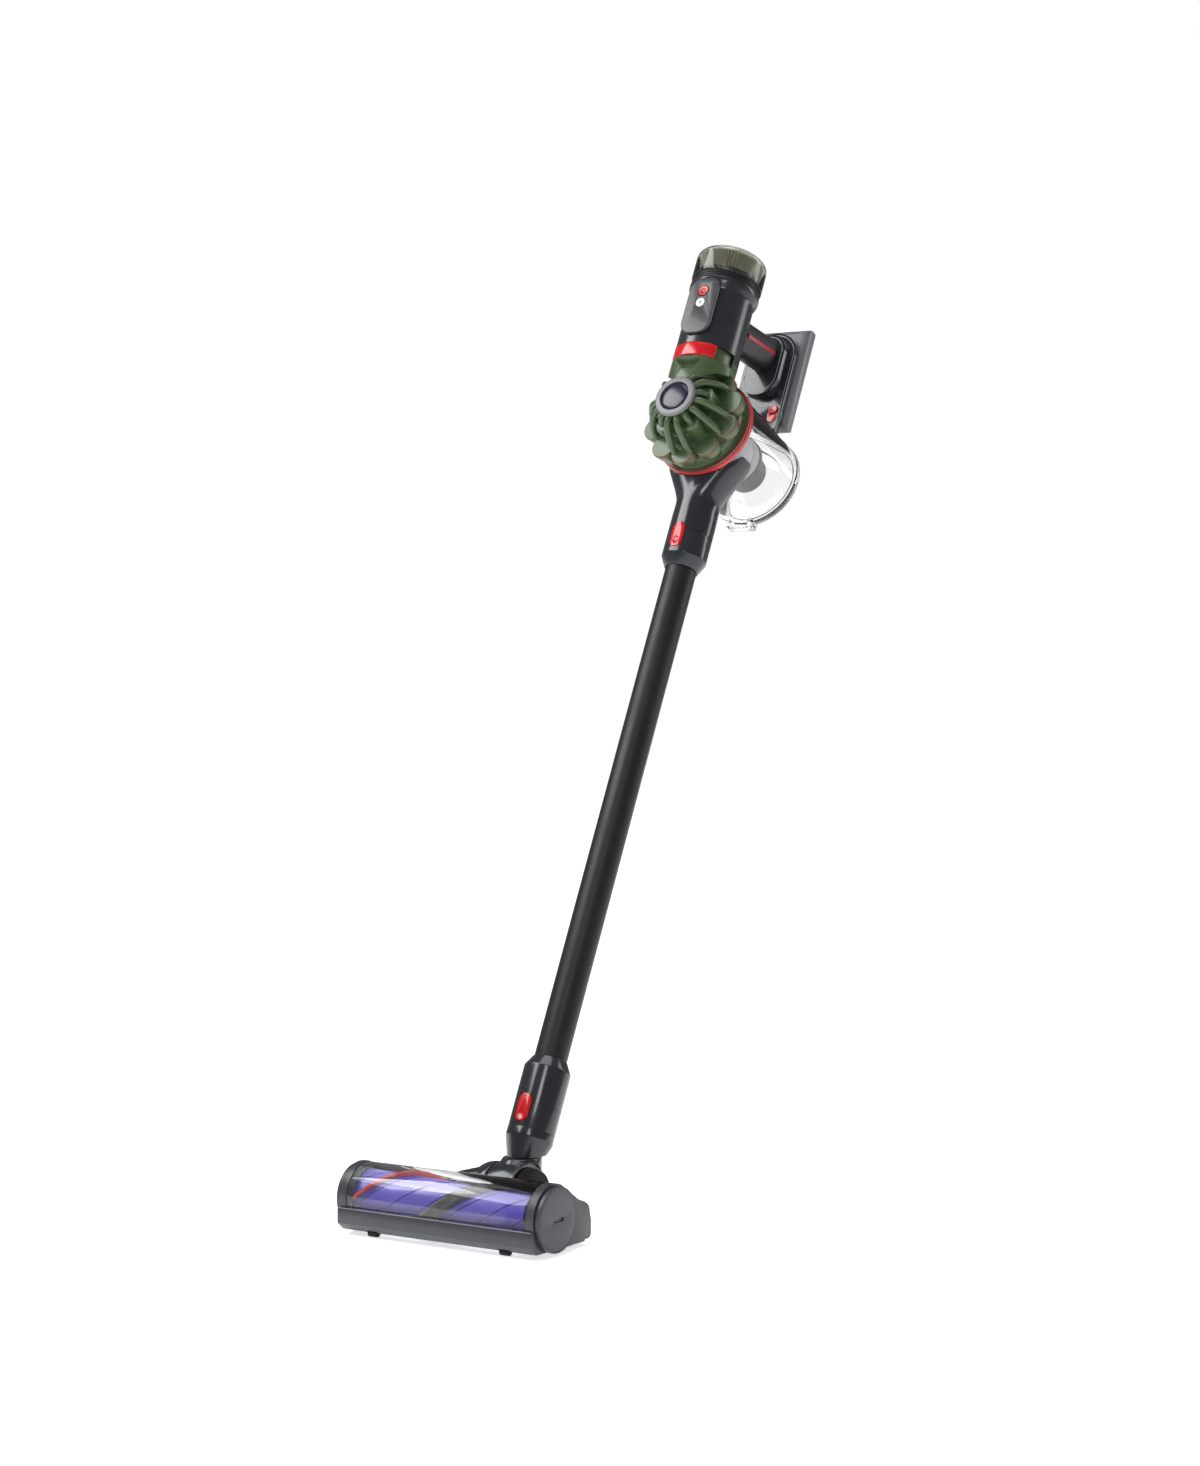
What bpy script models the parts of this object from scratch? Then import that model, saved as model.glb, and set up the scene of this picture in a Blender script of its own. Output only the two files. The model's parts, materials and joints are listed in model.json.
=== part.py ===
"""Cordless stick vacuum: a cyclone handheld on a wand with a motorised roller head.

World axes: +Z up, the head's front faces -Y, the user stands at +Y.  "right" in a name is +X,
the right-hand side seen from the front.  The origin is the centre of the object's base.
The wand leans back towards the user.  Everything above the head is laid out in the machine
frame: its Z runs up the wand ("along"), its Y points square to the wand towards the user
("back"), and X is shared with the world.
"""
import math

import bmesh
import bpy
from mathutils import Matrix, Vector

# ---------------------------------------------------------------- driving dimensions (metres)
GAP = 0.0003                    # clearance between neighbouring pieces
LEAN = math.radians(26.07)      # wand's lean from upright, towards the user
SHIFT_Y = -0.3121               # brings the middle of the object's depth to y = 0
SHIFT_Z = -0.0014               # brings the wheels down to z = 0
WAND_FOOT_Y = 0.0867            # where the wand's axis meets the floor, from the brush axis

BRUSH_Z = 0.0365                # height of the brush bar's axis
CHAMBER_R = 0.0322              # brush chamber
WINDOW_R = 0.0348               # outside of the clear window
BRUSH_R = 0.0245                # brush bar core
BRISTLE_R = 0.0300              # tips of the bristle strips
BUMPER_Y = -0.0373              # front face of the bumper
HOUSING_HALF = 0.1190           # half width of the housing between the end covers
PITCH_Y = 0.1000                # pitch axis behind the brush axis
PITCH_Z = 0.0360
SWIVEL_Z = 0.0705               # height of the swivel's level joint face
WHEEL_Y = 0.0500                # rear wheels
WHEEL_Z = 0.0104
ROLLER_Y = -0.0262              # front rollers
ROLLER_Z = 0.0052
BARREL_R = 0.0305               # elbow barrel
YOKE_NECK_R = 0.0180            # upright neck of the elbow

WAND_R = 0.0175                 # outside radius of the wand tube
WAND_WALL = 0.0012
CUFF_R = 0.0252                 # connectors at both ends of the wand
CUFF_BORE = WAND_R + GAP
WAND_LOW = 0.1135               # wand tube's lower and upper ends, along
WAND_HIGH = 0.8280
CUFF_LOW = 0.7570
CUFF_HIGH = 0.7985
BUTTON_HALF = 0.0150            # half length of the red release buttons
BUTTON_WIDE = 0.0076            # half width
NECK_BUTTON = 0.1225            # button centres, along
WAND_BUTTON = 0.7905

BIN_ALONG = 0.9240              # height of the bin and cyclone axis, along
BIN_R = 0.0560                  # clear bin
BIN_WALL = 0.0020
BIN_END = 0.0920                # bin's far end, back
MOTOR_BACK = -0.0575            # motor axis lies in front of the wand axis
MOTOR_R = 0.0366                # motor housing
CAP_R = 0.0405                  # filter cap
HOUSING_LOW = 0.9965            # lower rim of the housing's front half, along
HOUSING_SKIRT = 0.9865          # lower rim of its back half
CAP_LOW = 1.0905
CAP_HIGH = 1.1235
GRIP_ALONG = 1.0552             # where the grip's axis crosses the wand's
GRIP_TILT = math.radians(12.4)  # grip rises towards the foot
FOOT_FRONT = 0.0520             # handle foot, from its front to its back face
FOOT_BACK = 0.0722
KEY_X = 0.0225                  # battery release button
KEY_ALONG = 1.0000
PACK_FRONT = 0.0728             # battery pack, front and back faces
PACK_BACK = 0.0945
PACK_LOW = 0.9830
PACK_HIGH = 1.1150
PACK_HALF = 0.0368              # half width of the pack

PART_NAME = "cordless_stick_vacuum"
ROUND = 24                      # sides of an ordinary round piece

# colour (linear RGB), roughness, metallic
GLOSS_DARK = ("gloss_dark", (0.018, 0.021, 0.027), 0.22, 0.0)
MATT_BLACK = ("matt_black", (0.010, 0.010, 0.012), 0.55, 0.0)
HEAD_GREY = ("head_grey", (0.070, 0.076, 0.092), 0.42, 0.0)
RELEASE_RED = ("release_red", (0.760, 0.004, 0.008), 0.25, 0.0)
CRIMSON = ("crimson", (0.400, 0.008, 0.040), 0.40, 0.0)
CYCLONE_GREEN = ("cyclone_green", (0.065, 0.107, 0.042), 0.36, 0.0)
CAP_GREY = ("cap_grey", (0.360, 0.360, 0.370), 0.35, 0.6)
LENS_DARK = ("lens_dark", (0.012, 0.008, 0.030), 0.08, 0.2)
CLEAR = ("clear", (0.800, 0.820, 0.820), 0.06, 0.0)
SMOKE = ("smoke", (0.160, 0.160, 0.110), 0.10, 0.0)
PACK_GREY = ("pack_grey", (0.240, 0.245, 0.260), 0.50, 0.2)
BRUSH_PURPLE = ("brush_purple", (0.110, 0.050, 0.560), 0.38, 0.0)
BRISTLE_RED = ("bristle_red", (0.550, 0.010, 0.030), 0.80, 0.0)
CARBON = ("carbon", (0.020, 0.020, 0.020), 0.85, 0.0)
RUBBER = ("rubber", (0.015, 0.015, 0.016), 0.80, 0.0)
SHROUD_GREY = ("shroud_grey", (0.550, 0.560, 0.570), 0.45, 0.0)
FILTER_WHITE = ("filter_white", (0.700, 0.670, 0.560), 0.90, 0.0)
STEEL = ("steel", (0.560, 0.570, 0.580), 0.28, 1.0)
COPPER_BOARD = ("board_green", (0.020, 0.140, 0.060), 0.50, 0.0)
CELL_BLUE = ("cell_blue", (0.050, 0.160, 0.350), 0.40, 0.0)
KEY_WHITE = ("key_white", (0.800, 0.800, 0.800), 0.30, 0.0)

TO_YZ = (math.pi / 2, 0.0, math.pi / 2)     # an XY outline turned upright, extruded along X
TO_XZ = (math.pi / 2, 0.0, 0.0)             # an XY outline turned upright, extruded along Y


# ---------------------------------------------------------------- scene helpers
def clear_scene():
    for obj in list(bpy.data.objects):
        bpy.data.objects.remove(obj)


def make_collection(name):
    collection = bpy.data.collections.new(name)
    bpy.context.scene.collection.children.link(collection)
    return collection


def make_frame(name, parent, location=(0, 0, 0), rotation=(0, 0, 0)):
    frame = bpy.data.objects.new(name, None)
    frame.location = location
    frame.rotation_euler = rotation
    frame.parent = parent
    PARTS.objects.link(frame)
    return frame


def make_material(look):
    name, colour, roughness, metallic = look
    found = bpy.data.materials.get(name)
    if found:
        return found
    material = bpy.data.materials.new(name)
    material.use_nodes = True
    shader = material.node_tree.nodes["Principled BSDF"]
    shader.inputs["Base Color"].default_value = (*colour, 1.0)
    shader.inputs["Roughness"].default_value = roughness
    shader.inputs["Metallic"].default_value = metallic
    return material


def add_mesh(name, mesh, look, frame, location=(0, 0, 0), rotation=(0, 0, 0)):
    """Link a mesh as a named part, or as a cutter where it has no look."""
    obj = bpy.data.objects.new(name, mesh)
    obj.location = location
    obj.rotation_euler = rotation
    obj.parent = frame
    if look is None:
        CUTTERS.objects.link(obj)
        obj.hide_render = True
        obj.display_type = "WIRE"
        return obj
    PARTS.objects.link(obj)
    mesh.materials.append(make_material(look))
    mesh.shade_smooth()
    mesh.set_sharp_from_angle(angle=math.radians(35))
    return obj


def boolean(obj, tool, operation):
    modifier = obj.modifiers.new(operation.lower(), "BOOLEAN")
    modifier.operation = operation
    modifier.solver = "EXACT"
    modifier.object = tool
    return modifier


def cut(obj, *tools):
    for tool in tools:
        boolean(obj, tool, "DIFFERENCE")
    return obj


def fuse(obj, *tools):
    for tool in tools:
        boolean(obj, tool, "UNION")
    return obj


def bevel(obj, width, segments=1):
    modifier = obj.modifiers.new("bevel", "BEVEL")
    modifier.width = width
    modifier.segments = segments
    modifier.limit_method = "ANGLE"
    modifier.angle_limit = math.radians(40)
    return obj


# ---------------------------------------------------------------- shape helpers
def block(name, look, frame, low, high, edge=0.0):
    """A box between two corners of its frame."""
    low, high = Vector(low), Vector(high)
    mesh = bpy.data.meshes.new(name)
    form = bmesh.new()
    bmesh.ops.create_cube(form, size=1.0)
    bmesh.ops.scale(form, vec=high - low, verts=form.verts)
    form.to_mesh(mesh)
    form.free()
    obj = add_mesh(name, mesh, look, frame, (low + high) / 2)
    if edge:
        bevel(obj, edge)
    return obj


def rod(name, look, frame, radius, start, end, sides=ROUND, top=None):
    """A round bar, or a cone where top is given, between two points of its frame."""
    start, end = Vector(start), Vector(end)
    mesh = bpy.data.meshes.new(name)
    form = bmesh.new()
    length = (end - start).length
    bmesh.ops.create_cone(form, cap_ends=True, segments=sides, radius1=radius,
                          radius2=radius if top is None else top, depth=length)
    form.to_mesh(mesh)
    form.free()
    turn = (end - start).to_track_quat("Z", "Y").to_euler()
    return add_mesh(name, mesh, look, frame, (start + end) / 2, turn)


def turned(name, look, frame, profile, sides=ROUND, location=(0, 0, 0), rotation=(0, 0, 0)):
    """A ring or solid turned about local Z from (radius, height) points, outer side first."""
    mesh = bpy.data.meshes.new(name)
    points = [(radius, 0.0, height) for radius, height in profile]
    closed = min(radius for radius, _ in profile) > 0.0
    edges = [(i, i + 1) for i in range(len(points) - 1)]
    if closed:
        edges.append((len(points) - 1, 0))
    mesh.from_pydata(points, edges, [])
    obj = add_mesh(name, mesh, look, frame, location, rotation)
    screw = obj.modifiers.new("screw", "SCREW")
    screw.axis = "Z"
    screw.steps = sides
    screw.render_steps = sides
    screw.use_merge_vertices = True
    screw.merge_threshold = 0.00005
    screw.use_smooth_shade = True
    return obj


def sleeve(name, look, frame, outer, inner, low, high, sides=ROUND):
    """A plain tube along the frame's Z."""
    return turned(name, look, frame, [(outer, high), (outer, low), (inner, low), (inner, high)], sides)


def arc(radius, start, end, count, centre=(0.0, 0.0)):
    """Points on a circle between two angles given in degrees."""
    angles = [math.radians(start + (end - start) * i / (count - 1)) for i in range(count)]
    return [(centre[0] + radius * math.cos(a), centre[1] + radius * math.sin(a)) for a in angles]


def rounded(half_x, half_y, corner, count=4, centre=(0.0, 0.0)):
    """A rounded rectangle; a corner as large as the smaller half makes a stadium."""
    points = []
    for turn, (sx, sy) in enumerate(((1, 1), (-1, 1), (-1, -1), (1, -1))):
        middle = (centre[0] + sx * (half_x - corner), centre[1] + sy * (half_y - corner))
        points += arc(corner, 90 * turn, 90 * turn + 90, count, middle)
    return points


def prism(name, look, frame, outline, depth, location=(0, 0, 0), rotation=(0, 0, 0)):
    """A flat outline given thickness: a filled 2D curve, extruded both ways and made a mesh."""
    curve = bpy.data.curves.new(name, "CURVE")
    curve.dimensions = "2D"
    curve.fill_mode = "BOTH"
    curve.extrude = depth / 2
    spline = curve.splines.new("POLY")
    spline.points.add(len(outline) - 1)
    for point, (x, y) in zip(spline.points, outline):
        point.co = (x, y, 0.0, 1.0)
    spline.use_cyclic_u = True
    guide = bpy.data.objects.new(name + "_guide", curve)
    CUTTERS.objects.link(guide)
    mesh = solid_from(guide)
    return add_mesh(name, mesh, look, frame, location, rotation)


def solid_from(guide):
    """The closed mesh of a curve object; the curve is removed."""
    graph = bpy.context.evaluated_depsgraph_get()
    mesh = bpy.data.meshes.new_from_object(guide.evaluated_get(graph))
    form = bmesh.new()
    form.from_mesh(mesh)
    bmesh.ops.remove_doubles(form, verts=form.verts, dist=0.00001)
    bmesh.ops.recalc_face_normals(form, faces=form.faces)
    form.to_mesh(mesh)
    form.free()
    mesh.materials.clear()
    bpy.data.objects.remove(guide)
    return mesh


def loft(name, look, frame, rings, looped=False):
    """A solid through rings of equal point counts; looped joins the last ring to the first."""
    form = bmesh.new()
    rows = [[form.verts.new(point) for point in ring] for ring in rings]
    size = len(rows[0])
    pairs = list(zip(rows, rows[1:]))
    if looped:
        pairs.append((rows[-1], rows[0]))
    for lower, upper in pairs:
        for i in range(size):
            j = (i + 1) % size
            form.faces.new((lower[i], lower[j], upper[j], upper[i]))
    if not looped:
        form.faces.new(list(reversed(rows[0])))
        form.faces.new(rows[-1])
    bmesh.ops.recalc_face_normals(form, faces=form.faces)
    mesh = bpy.data.meshes.new(name)
    form.to_mesh(mesh)
    form.free()
    return add_mesh(name, mesh, look, frame)


def oval_ring(along, half_x, half_y, power, count=ROUND):
    """A ring between an ellipse (power 2) and a rounded box, level at a height of its frame."""
    ring = []
    for i in range(count):
        angle = 2 * math.pi * i / count
        cosine, sine = math.cos(angle), math.sin(angle)
        x = half_x * math.copysign(abs(cosine) ** (2 / power), cosine)
        y = half_y * math.copysign(abs(sine) ** (2 / power), sine)
        ring.append((x, y, along))
    return ring


def pipe(name, look, frame, points, radius, resolution=1):
    """A round bar along a smooth path, made a closed mesh."""
    curve = bpy.data.curves.new(name, "CURVE")
    curve.dimensions = "3D"
    curve.bevel_depth = radius
    curve.bevel_resolution = resolution
    curve.use_fill_caps = True
    spline = curve.splines.new("POLY")
    spline.points.add(len(points) - 1)
    for point, position in zip(spline.points, points):
        point.co = (*position, 1.0)
    guide = bpy.data.objects.new(name + "_guide", curve)
    CUTTERS.objects.link(guide)
    return add_mesh(name, solid_from(guide), look, frame)


def ring_of(name, meshes, frame, location=(0, 0, 0)):
    """Several closed meshes joined as one cutter, each already in its frame's coordinates."""
    form = bmesh.new()
    for mesh in meshes:
        form.from_mesh(mesh)
    joined = bpy.data.meshes.new(name)
    form.to_mesh(joined)
    form.free()
    return add_mesh(name, joined, None, frame, location)


# ---------------------------------------------------------------- cleaner head (world upright)
def head_outline():
    """Side section of the housing, around the brush axis: bumper, window arc, rear box."""
    crown = arc(WINDOW_R, 193, 66, 15, (0.0, BRUSH_Z))
    rear = [(0.0300, 0.0585), (0.0440, 0.0495), (0.0560, 0.0455), (0.0625, 0.0410), (0.0650, 0.0300),
            (0.0660, 0.0270), (0.0660, 0.0110), (0.0630, 0.0085), (0.0300, 0.0060)]
    front = [(-0.0285, 0.0060), (BUMPER_Y, 0.0134), (BUMPER_Y, 0.0282)]
    return front + crown + rear


def make_head_housing(head):
    housing = prism("head_housing", HEAD_GREY, head, head_outline(), 2 * HOUSING_HALF, rotation=TO_YZ)
    chamber = rod("chamber_cutter", None, head, CHAMBER_R,
                  (-0.1150, 0, BRUSH_Z), (HOUSING_HALF + 0.01, 0, BRUSH_Z), 32)
    mouth = block("mouth_cutter", None, head, (-0.1070, -0.0215, -0.01), (0.1070, 0.0220, 0.0200))
    view = block("view_cutter", None, head, (-0.1100, -0.06, 0.0290), (0.1100, 0.0262, 0.10))
    barrel = rod("barrel_cutter", None, head, BARREL_R + 0.0015,
                 (-0.0300, PITCH_Y, PITCH_Z), (0.0300, PITCH_Y, PITCH_Z), 32)
    suction = block("suction_cutter", None, head, (-0.0140, 0.0200, 0.0200), (0.0140, 0.0800, 0.0400))
    cut(housing, chamber, mouth, view, barrel, suction)
    for side in (-1, 1):
        ear = prism(f"ear_{side}", None, head, rounded(0.0290, 0.0150, 0.0120, 4, (0.0830, 0.0310)),
                    0.0100, (side * 0.0365, 0, 0), TO_YZ)
        fuse(housing, ear)
    for side in (-1, 1):
        pin = rod(f"pin_bore_{side}", None, head, 0.0040 + GAP,
                  (side * 0.0250, PITCH_Y, PITCH_Z), (side * 0.0390, PITCH_Y, PITCH_Z), 12)
        rear = rod(f"rear_well_{side}", None, head, 0.0105,
                   (side * 0.0700, WHEEL_Y, WHEEL_Z), (side * 0.0860, WHEEL_Y, WHEEL_Z), 16)
        front = rod(f"front_well_{side}", None, head, 0.0048,
                    (side * 0.0745, ROLLER_Y, ROLLER_Z), (side * 0.0875, ROLLER_Y, ROLLER_Z), 12)
        cut(housing, pin, rear, front)
    return housing


def make_window(head):
    """Clear cover over the brush, from the bumper to the back of the opening."""
    outer = arc(WINDOW_R - 0.0002, 192, 42.5, 14, (0.0, BRUSH_Z))
    inner = arc(CHAMBER_R + 0.0010, 42.5, 192, 14, (0.0, BRUSH_Z))
    prism("head_window", CLEAR, head, outer + inner, 2 * 0.1096, rotation=TO_YZ)


def make_sole(head):
    """U-shaped bottom plate around the suction mouth, with openings for the rear wheels."""
    plate = block("sole_plate", HEAD_GREY, head, (-0.1130, -0.0200, 0.0040), (0.1130, 0.0640, 0.0057))
    tools = [block("sole_mouth_cutter", None, head, (-0.1060, -0.05, 0.0), (0.1060, 0.0210, 0.01))]
    for side in (-1, 1):
        tools.append(block(f"sole_rear_{side}", None, head, (side * 0.0780 - 0.0085, WHEEL_Y - 0.0115, 0.0),
                           (side * 0.0780 + 0.0085, WHEEL_Y + 0.0115, 0.01)))
    cut(plate, *tools)
    block("rear_seal_strip", CARBON, head, (-0.1000, 0.0230, 0.0020), (0.1000, 0.0270, 0.0037))


def make_end_covers(head):
    """Right: a round cap with a coin slot. Left: a fixed cover over the drive."""
    x = HOUSING_HALF + GAP
    cap = turned("end_cap", HEAD_GREY, head,
                 [(0.0, 0.0057), (0.0320, 0.0057), (0.0325, 0.0051), (0.0325, 0.0004),
                  (0.0314, 0.0), (0.0314, -0.0060), (0.0060, -0.0060), (0.0060, -0.0040), (0.0, -0.0040)],
                 36, (x, 0, BRUSH_Z), (0, math.pi / 2, 0))
    slot = block("coin_slot_cutter", None, head, (x + 0.0042, -0.0065, BRUSH_Z - 0.0011),
                 (x + 0.01, 0.0065, BRUSH_Z + 0.0011))
    cut(cap, slot)
    turned("left_end_cover", HEAD_GREY, head,
           [(0.0, 0.0057), (0.0310, 0.0057), (0.0325, 0.0046), (0.0325, 0.0), (0.0, 0.0)],
           36, (-x, 0, BRUSH_Z), (0, -math.pi / 2, 0))


def helix_ribbon(name, look, head, start, sweep, x_from, x_to, width):
    """A bristle strip standing on the brush core and winding along it."""
    rings = []
    root = BRUSH_R + 0.0010     # clears the round core under the strip's flat back
    count = 29
    for i in range(count):
        share = i / (count - 1)
        angle = math.radians(start + sweep * share)
        x = x_from + (x_to - x_from) * share
        ring = []
        for radius, side in ((root, -1), (BRISTLE_R, -0.7), (BRISTLE_R, 0.7), (root, 1), (root, 0)):
            turn = angle + side * width / (2 * BRUSH_R)
            ring.append((x, radius * math.cos(turn), BRUSH_Z + radius * math.sin(turn)))
        rings.append(ring)
    return loft(name, look, head, rings)


def make_brush(head):
    """Hollow brush core on an end bearing, two bristle strips, and the motor inside."""
    turned("brush_bar", BRUSH_PURPLE, head,
           [(BRUSH_R, 0.1080), (BRUSH_R, -0.1060), (0.0190, -0.1060), (0.0190, 0.0900),
            (0.0064, 0.0900), (0.0064, 0.1080)], 28, (0, 0, BRUSH_Z), (0, math.pi / 2, 0))
    helix_ribbon("bristle_strip", BRISTLE_RED, head, 175, -335, -0.1040, 0.1040, 0.0050)
    helix_ribbon("carbon_strip", CARBON, head, 343, -335, -0.1040, 0.1040, 0.0170)
    bar = rod("brush_motor", STEEL, head, 0.0140, (-0.1145, 0, BRUSH_Z), (-0.0600, 0, BRUSH_Z))
    shaft = rod("brush_motor_shaft", None, head, 0.0030, (-0.0650, 0, BRUSH_Z), (0.0700, 0, BRUSH_Z), 12)
    fuse(bar, shaft)
    rod("brush_spindle", STEEL, head, 0.0056, (0.0906, 0, BRUSH_Z), (0.1148, 0, BRUSH_Z), 16)


def make_rollers(head):
    """Small front rollers and larger rear wheels, each with stub axles in one piece."""
    for side, word in ((-1, "left"), (1, "right")):
        turned(f"front_roller_{word}", RUBBER, head,
               [(0.0, 0.0062), (0.0014, 0.0062), (0.0014, 0.0056), (0.0038, 0.0056), (0.0038, -0.0056),
                (0.0014, -0.0056), (0.0014, -0.0062), (0.0, -0.0062)],
               16, (side * 0.0810, ROLLER_Y, ROLLER_Z), (0, math.pi / 2, 0))
        turned(f"rear_wheel_{word}", RUBBER, head,
               [(0.0, 0.0077), (0.0024, 0.0077), (0.0024, 0.0068), (0.0090, 0.0068), (0.0090, -0.0068),
                (0.0024, -0.0068), (0.0024, -0.0077), (0.0, -0.0077)],
               24, (side * 0.0780, WHEEL_Y, WHEEL_Z), (0, math.pi / 2, 0))


# ---------------------------------------------------------------- elbow and neck
def make_elbow(head):
    """Barrel on the pitch axis with an upright neck, ribbed sleeves beside it and two pins."""
    barrel = rod("elbow", GLOSS_DARK, head, BARREL_R,
                 (-0.0170, PITCH_Y, PITCH_Z), (0.0170, PITCH_Y, PITCH_Z), 36)
    neck_y = WAND_FOOT_Y + SWIVEL_Z * math.tan(LEAN)
    neck = rod("elbow_neck", None, head, YOKE_NECK_R, (0, neck_y, 0.0400), (0, neck_y, SWIVEL_Z - GAP), 36)
    bore = rod("elbow_bore", None, head, 0.0115, (0, neck_y, 0.0440), (0, neck_y, 0.09), 20)
    inlet = rod("elbow_inlet", None, head, 0.0100, (0, 0.06, 0.0330), (0, neck_y, 0.0480), 20)
    spindle = rod("elbow_spindle", None, head, 0.0040 + GAP, (-0.03, PITCH_Y, PITCH_Z),
                  (-0.0120, PITCH_Y, PITCH_Z), 12)
    spindle_2 = rod("elbow_spindle_2", None, head, 0.0040 + GAP, (0.0120, PITCH_Y, PITCH_Z),
                    (0.03, PITCH_Y, PITCH_Z), 12)
    fuse(barrel, neck)
    cut(barrel, bore, inlet, spindle, spindle_2)
    for side, word in ((-1, "left"), (1, "right")):
        outer = []
        for i in range(7):
            outer.append((0.0252 if i % 2 == 0 else 0.0236, 0.0110 - i * 0.0110 / 6))
        profile = outer + [(0.0100, 0.0), (0.0100, 0.0110)]
        start = 0.0184 if side > 0 else -0.0184 - 0.0110
        turned(f"bellows_{word}", RUBBER, head, profile, 20, (start, PITCH_Y, PITCH_Z), (0, math.pi / 2, 0))
        rod(f"pitch_pin_{word}", STEEL, head, 0.0040, (side * 0.0124, PITCH_Y, PITCH_Z),
            (side * 0.0386, PITCH_Y, PITCH_Z), 12)


def release_button(name, machine, along):
    """Long red push button on the front of a connector, with a curved outer face."""
    button = prism(name, RELEASE_RED, machine, rounded(BUTTON_WIDE, BUTTON_HALF, BUTTON_WIDE, 5),
                   0.0060, (0, -0.0243, along), TO_XZ)
    face = rod(name + "_face", None, machine, CUFF_R + 0.0011, (0, 0, along - 0.03), (0, 0, along + 0.03), 48)
    boolean(button, face, "INTERSECT")


def button_recess(name, machine, along):
    return prism(name, None, machine, rounded(BUTTON_WIDE + 0.0004, BUTTON_HALF + 0.0004,
                                              BUTTON_WIDE + 0.0004, 5), 0.0200,
                 (0, -0.0292, along), TO_XZ)


def make_neck_socket(machine, head):
    """Lower connector: takes the wand, carries a release button, ends level at the swivel."""
    socket = turned("neck_socket", GLOSS_DARK, machine,
                    [(0.0188, 0.1820), (CUFF_R, 0.1705), (CUFF_R + 0.0002, 0.0945), (0.0156, 0.0660),
                     (0.0118, 0.0660), (0.0118, 0.1130), (CUFF_BORE, 0.1130), (CUFF_BORE, 0.1820)], 36)
    floor = block("neck_floor", None, head, (-0.05, 0.05, 0.02), (0.05, 0.20, SWIVEL_Z + GAP))
    cut(socket, floor, button_recess("neck_button_recess", machine, NECK_BUTTON))
    release_button("neck_button", machine, NECK_BUTTON)


# ---------------------------------------------------------------- wand
def make_wand(machine):
    sleeve("wand_tube", MATT_BLACK, machine, WAND_R, WAND_R - WAND_WALL, WAND_LOW, WAND_HIGH, 32)
    cuff = turned("wand_cuff", GLOSS_DARK, machine,
                  [(CUFF_R, CUFF_HIGH), (CUFF_R, 0.7700), (0.0188, CUFF_LOW),
                   (CUFF_BORE, CUFF_LOW), (CUFF_BORE, CUFF_HIGH)], 36)
    cut(cuff, button_recess("wand_button_recess", machine, WAND_BUTTON))
    release_button("wand_button", machine, WAND_BUTTON)


# ---------------------------------------------------------------- inlet and bin
def make_inlet(machine, bin_frame):
    """Fan-shaped duct from the wand's round socket to the side of the bin."""
    low = CUFF_HIGH + GAP
    outer = [oval_ring(low, CUFF_R, CUFF_R, 2), oval_ring(0.8390, CUFF_R, CUFF_R, 2),
             oval_ring(0.8520, 0.0300, 0.0253, 2.2), oval_ring(0.8660, 0.0372, 0.0254, 2.5),
             oval_ring(0.8800, 0.0445, 0.0255, 2.8), oval_ring(0.8950, 0.0495, 0.0255, 3)]
    inner = [oval_ring(0.8950, 0.0450, 0.0225, 3), oval_ring(0.8800, 0.0400, 0.0225, 2.8),
             oval_ring(0.8660, 0.0320, 0.0222, 2.5), oval_ring(0.8520, 0.0240, 0.0215, 2.2),
             oval_ring(0.8400, CUFF_BORE, CUFF_BORE, 2), oval_ring(low, CUFF_BORE, CUFF_BORE, 2)]
    duct = loft("inlet_duct", GLOSS_DARK, machine, outer + inner, looped=True)
    saddle = rod("saddle_cutter", None, bin_frame, BIN_R + GAP, (0, 0, 0.06), (0, 0, -0.06), 48)
    collar = rod("saddle_collar_cutter", None, bin_frame, 0.0598, (0, 0, 0.06), (0, 0, 0.0202), 48)
    cut(duct, saddle, collar, button_recess("inlet_button_recess", machine, WAND_BUTTON))


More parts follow.
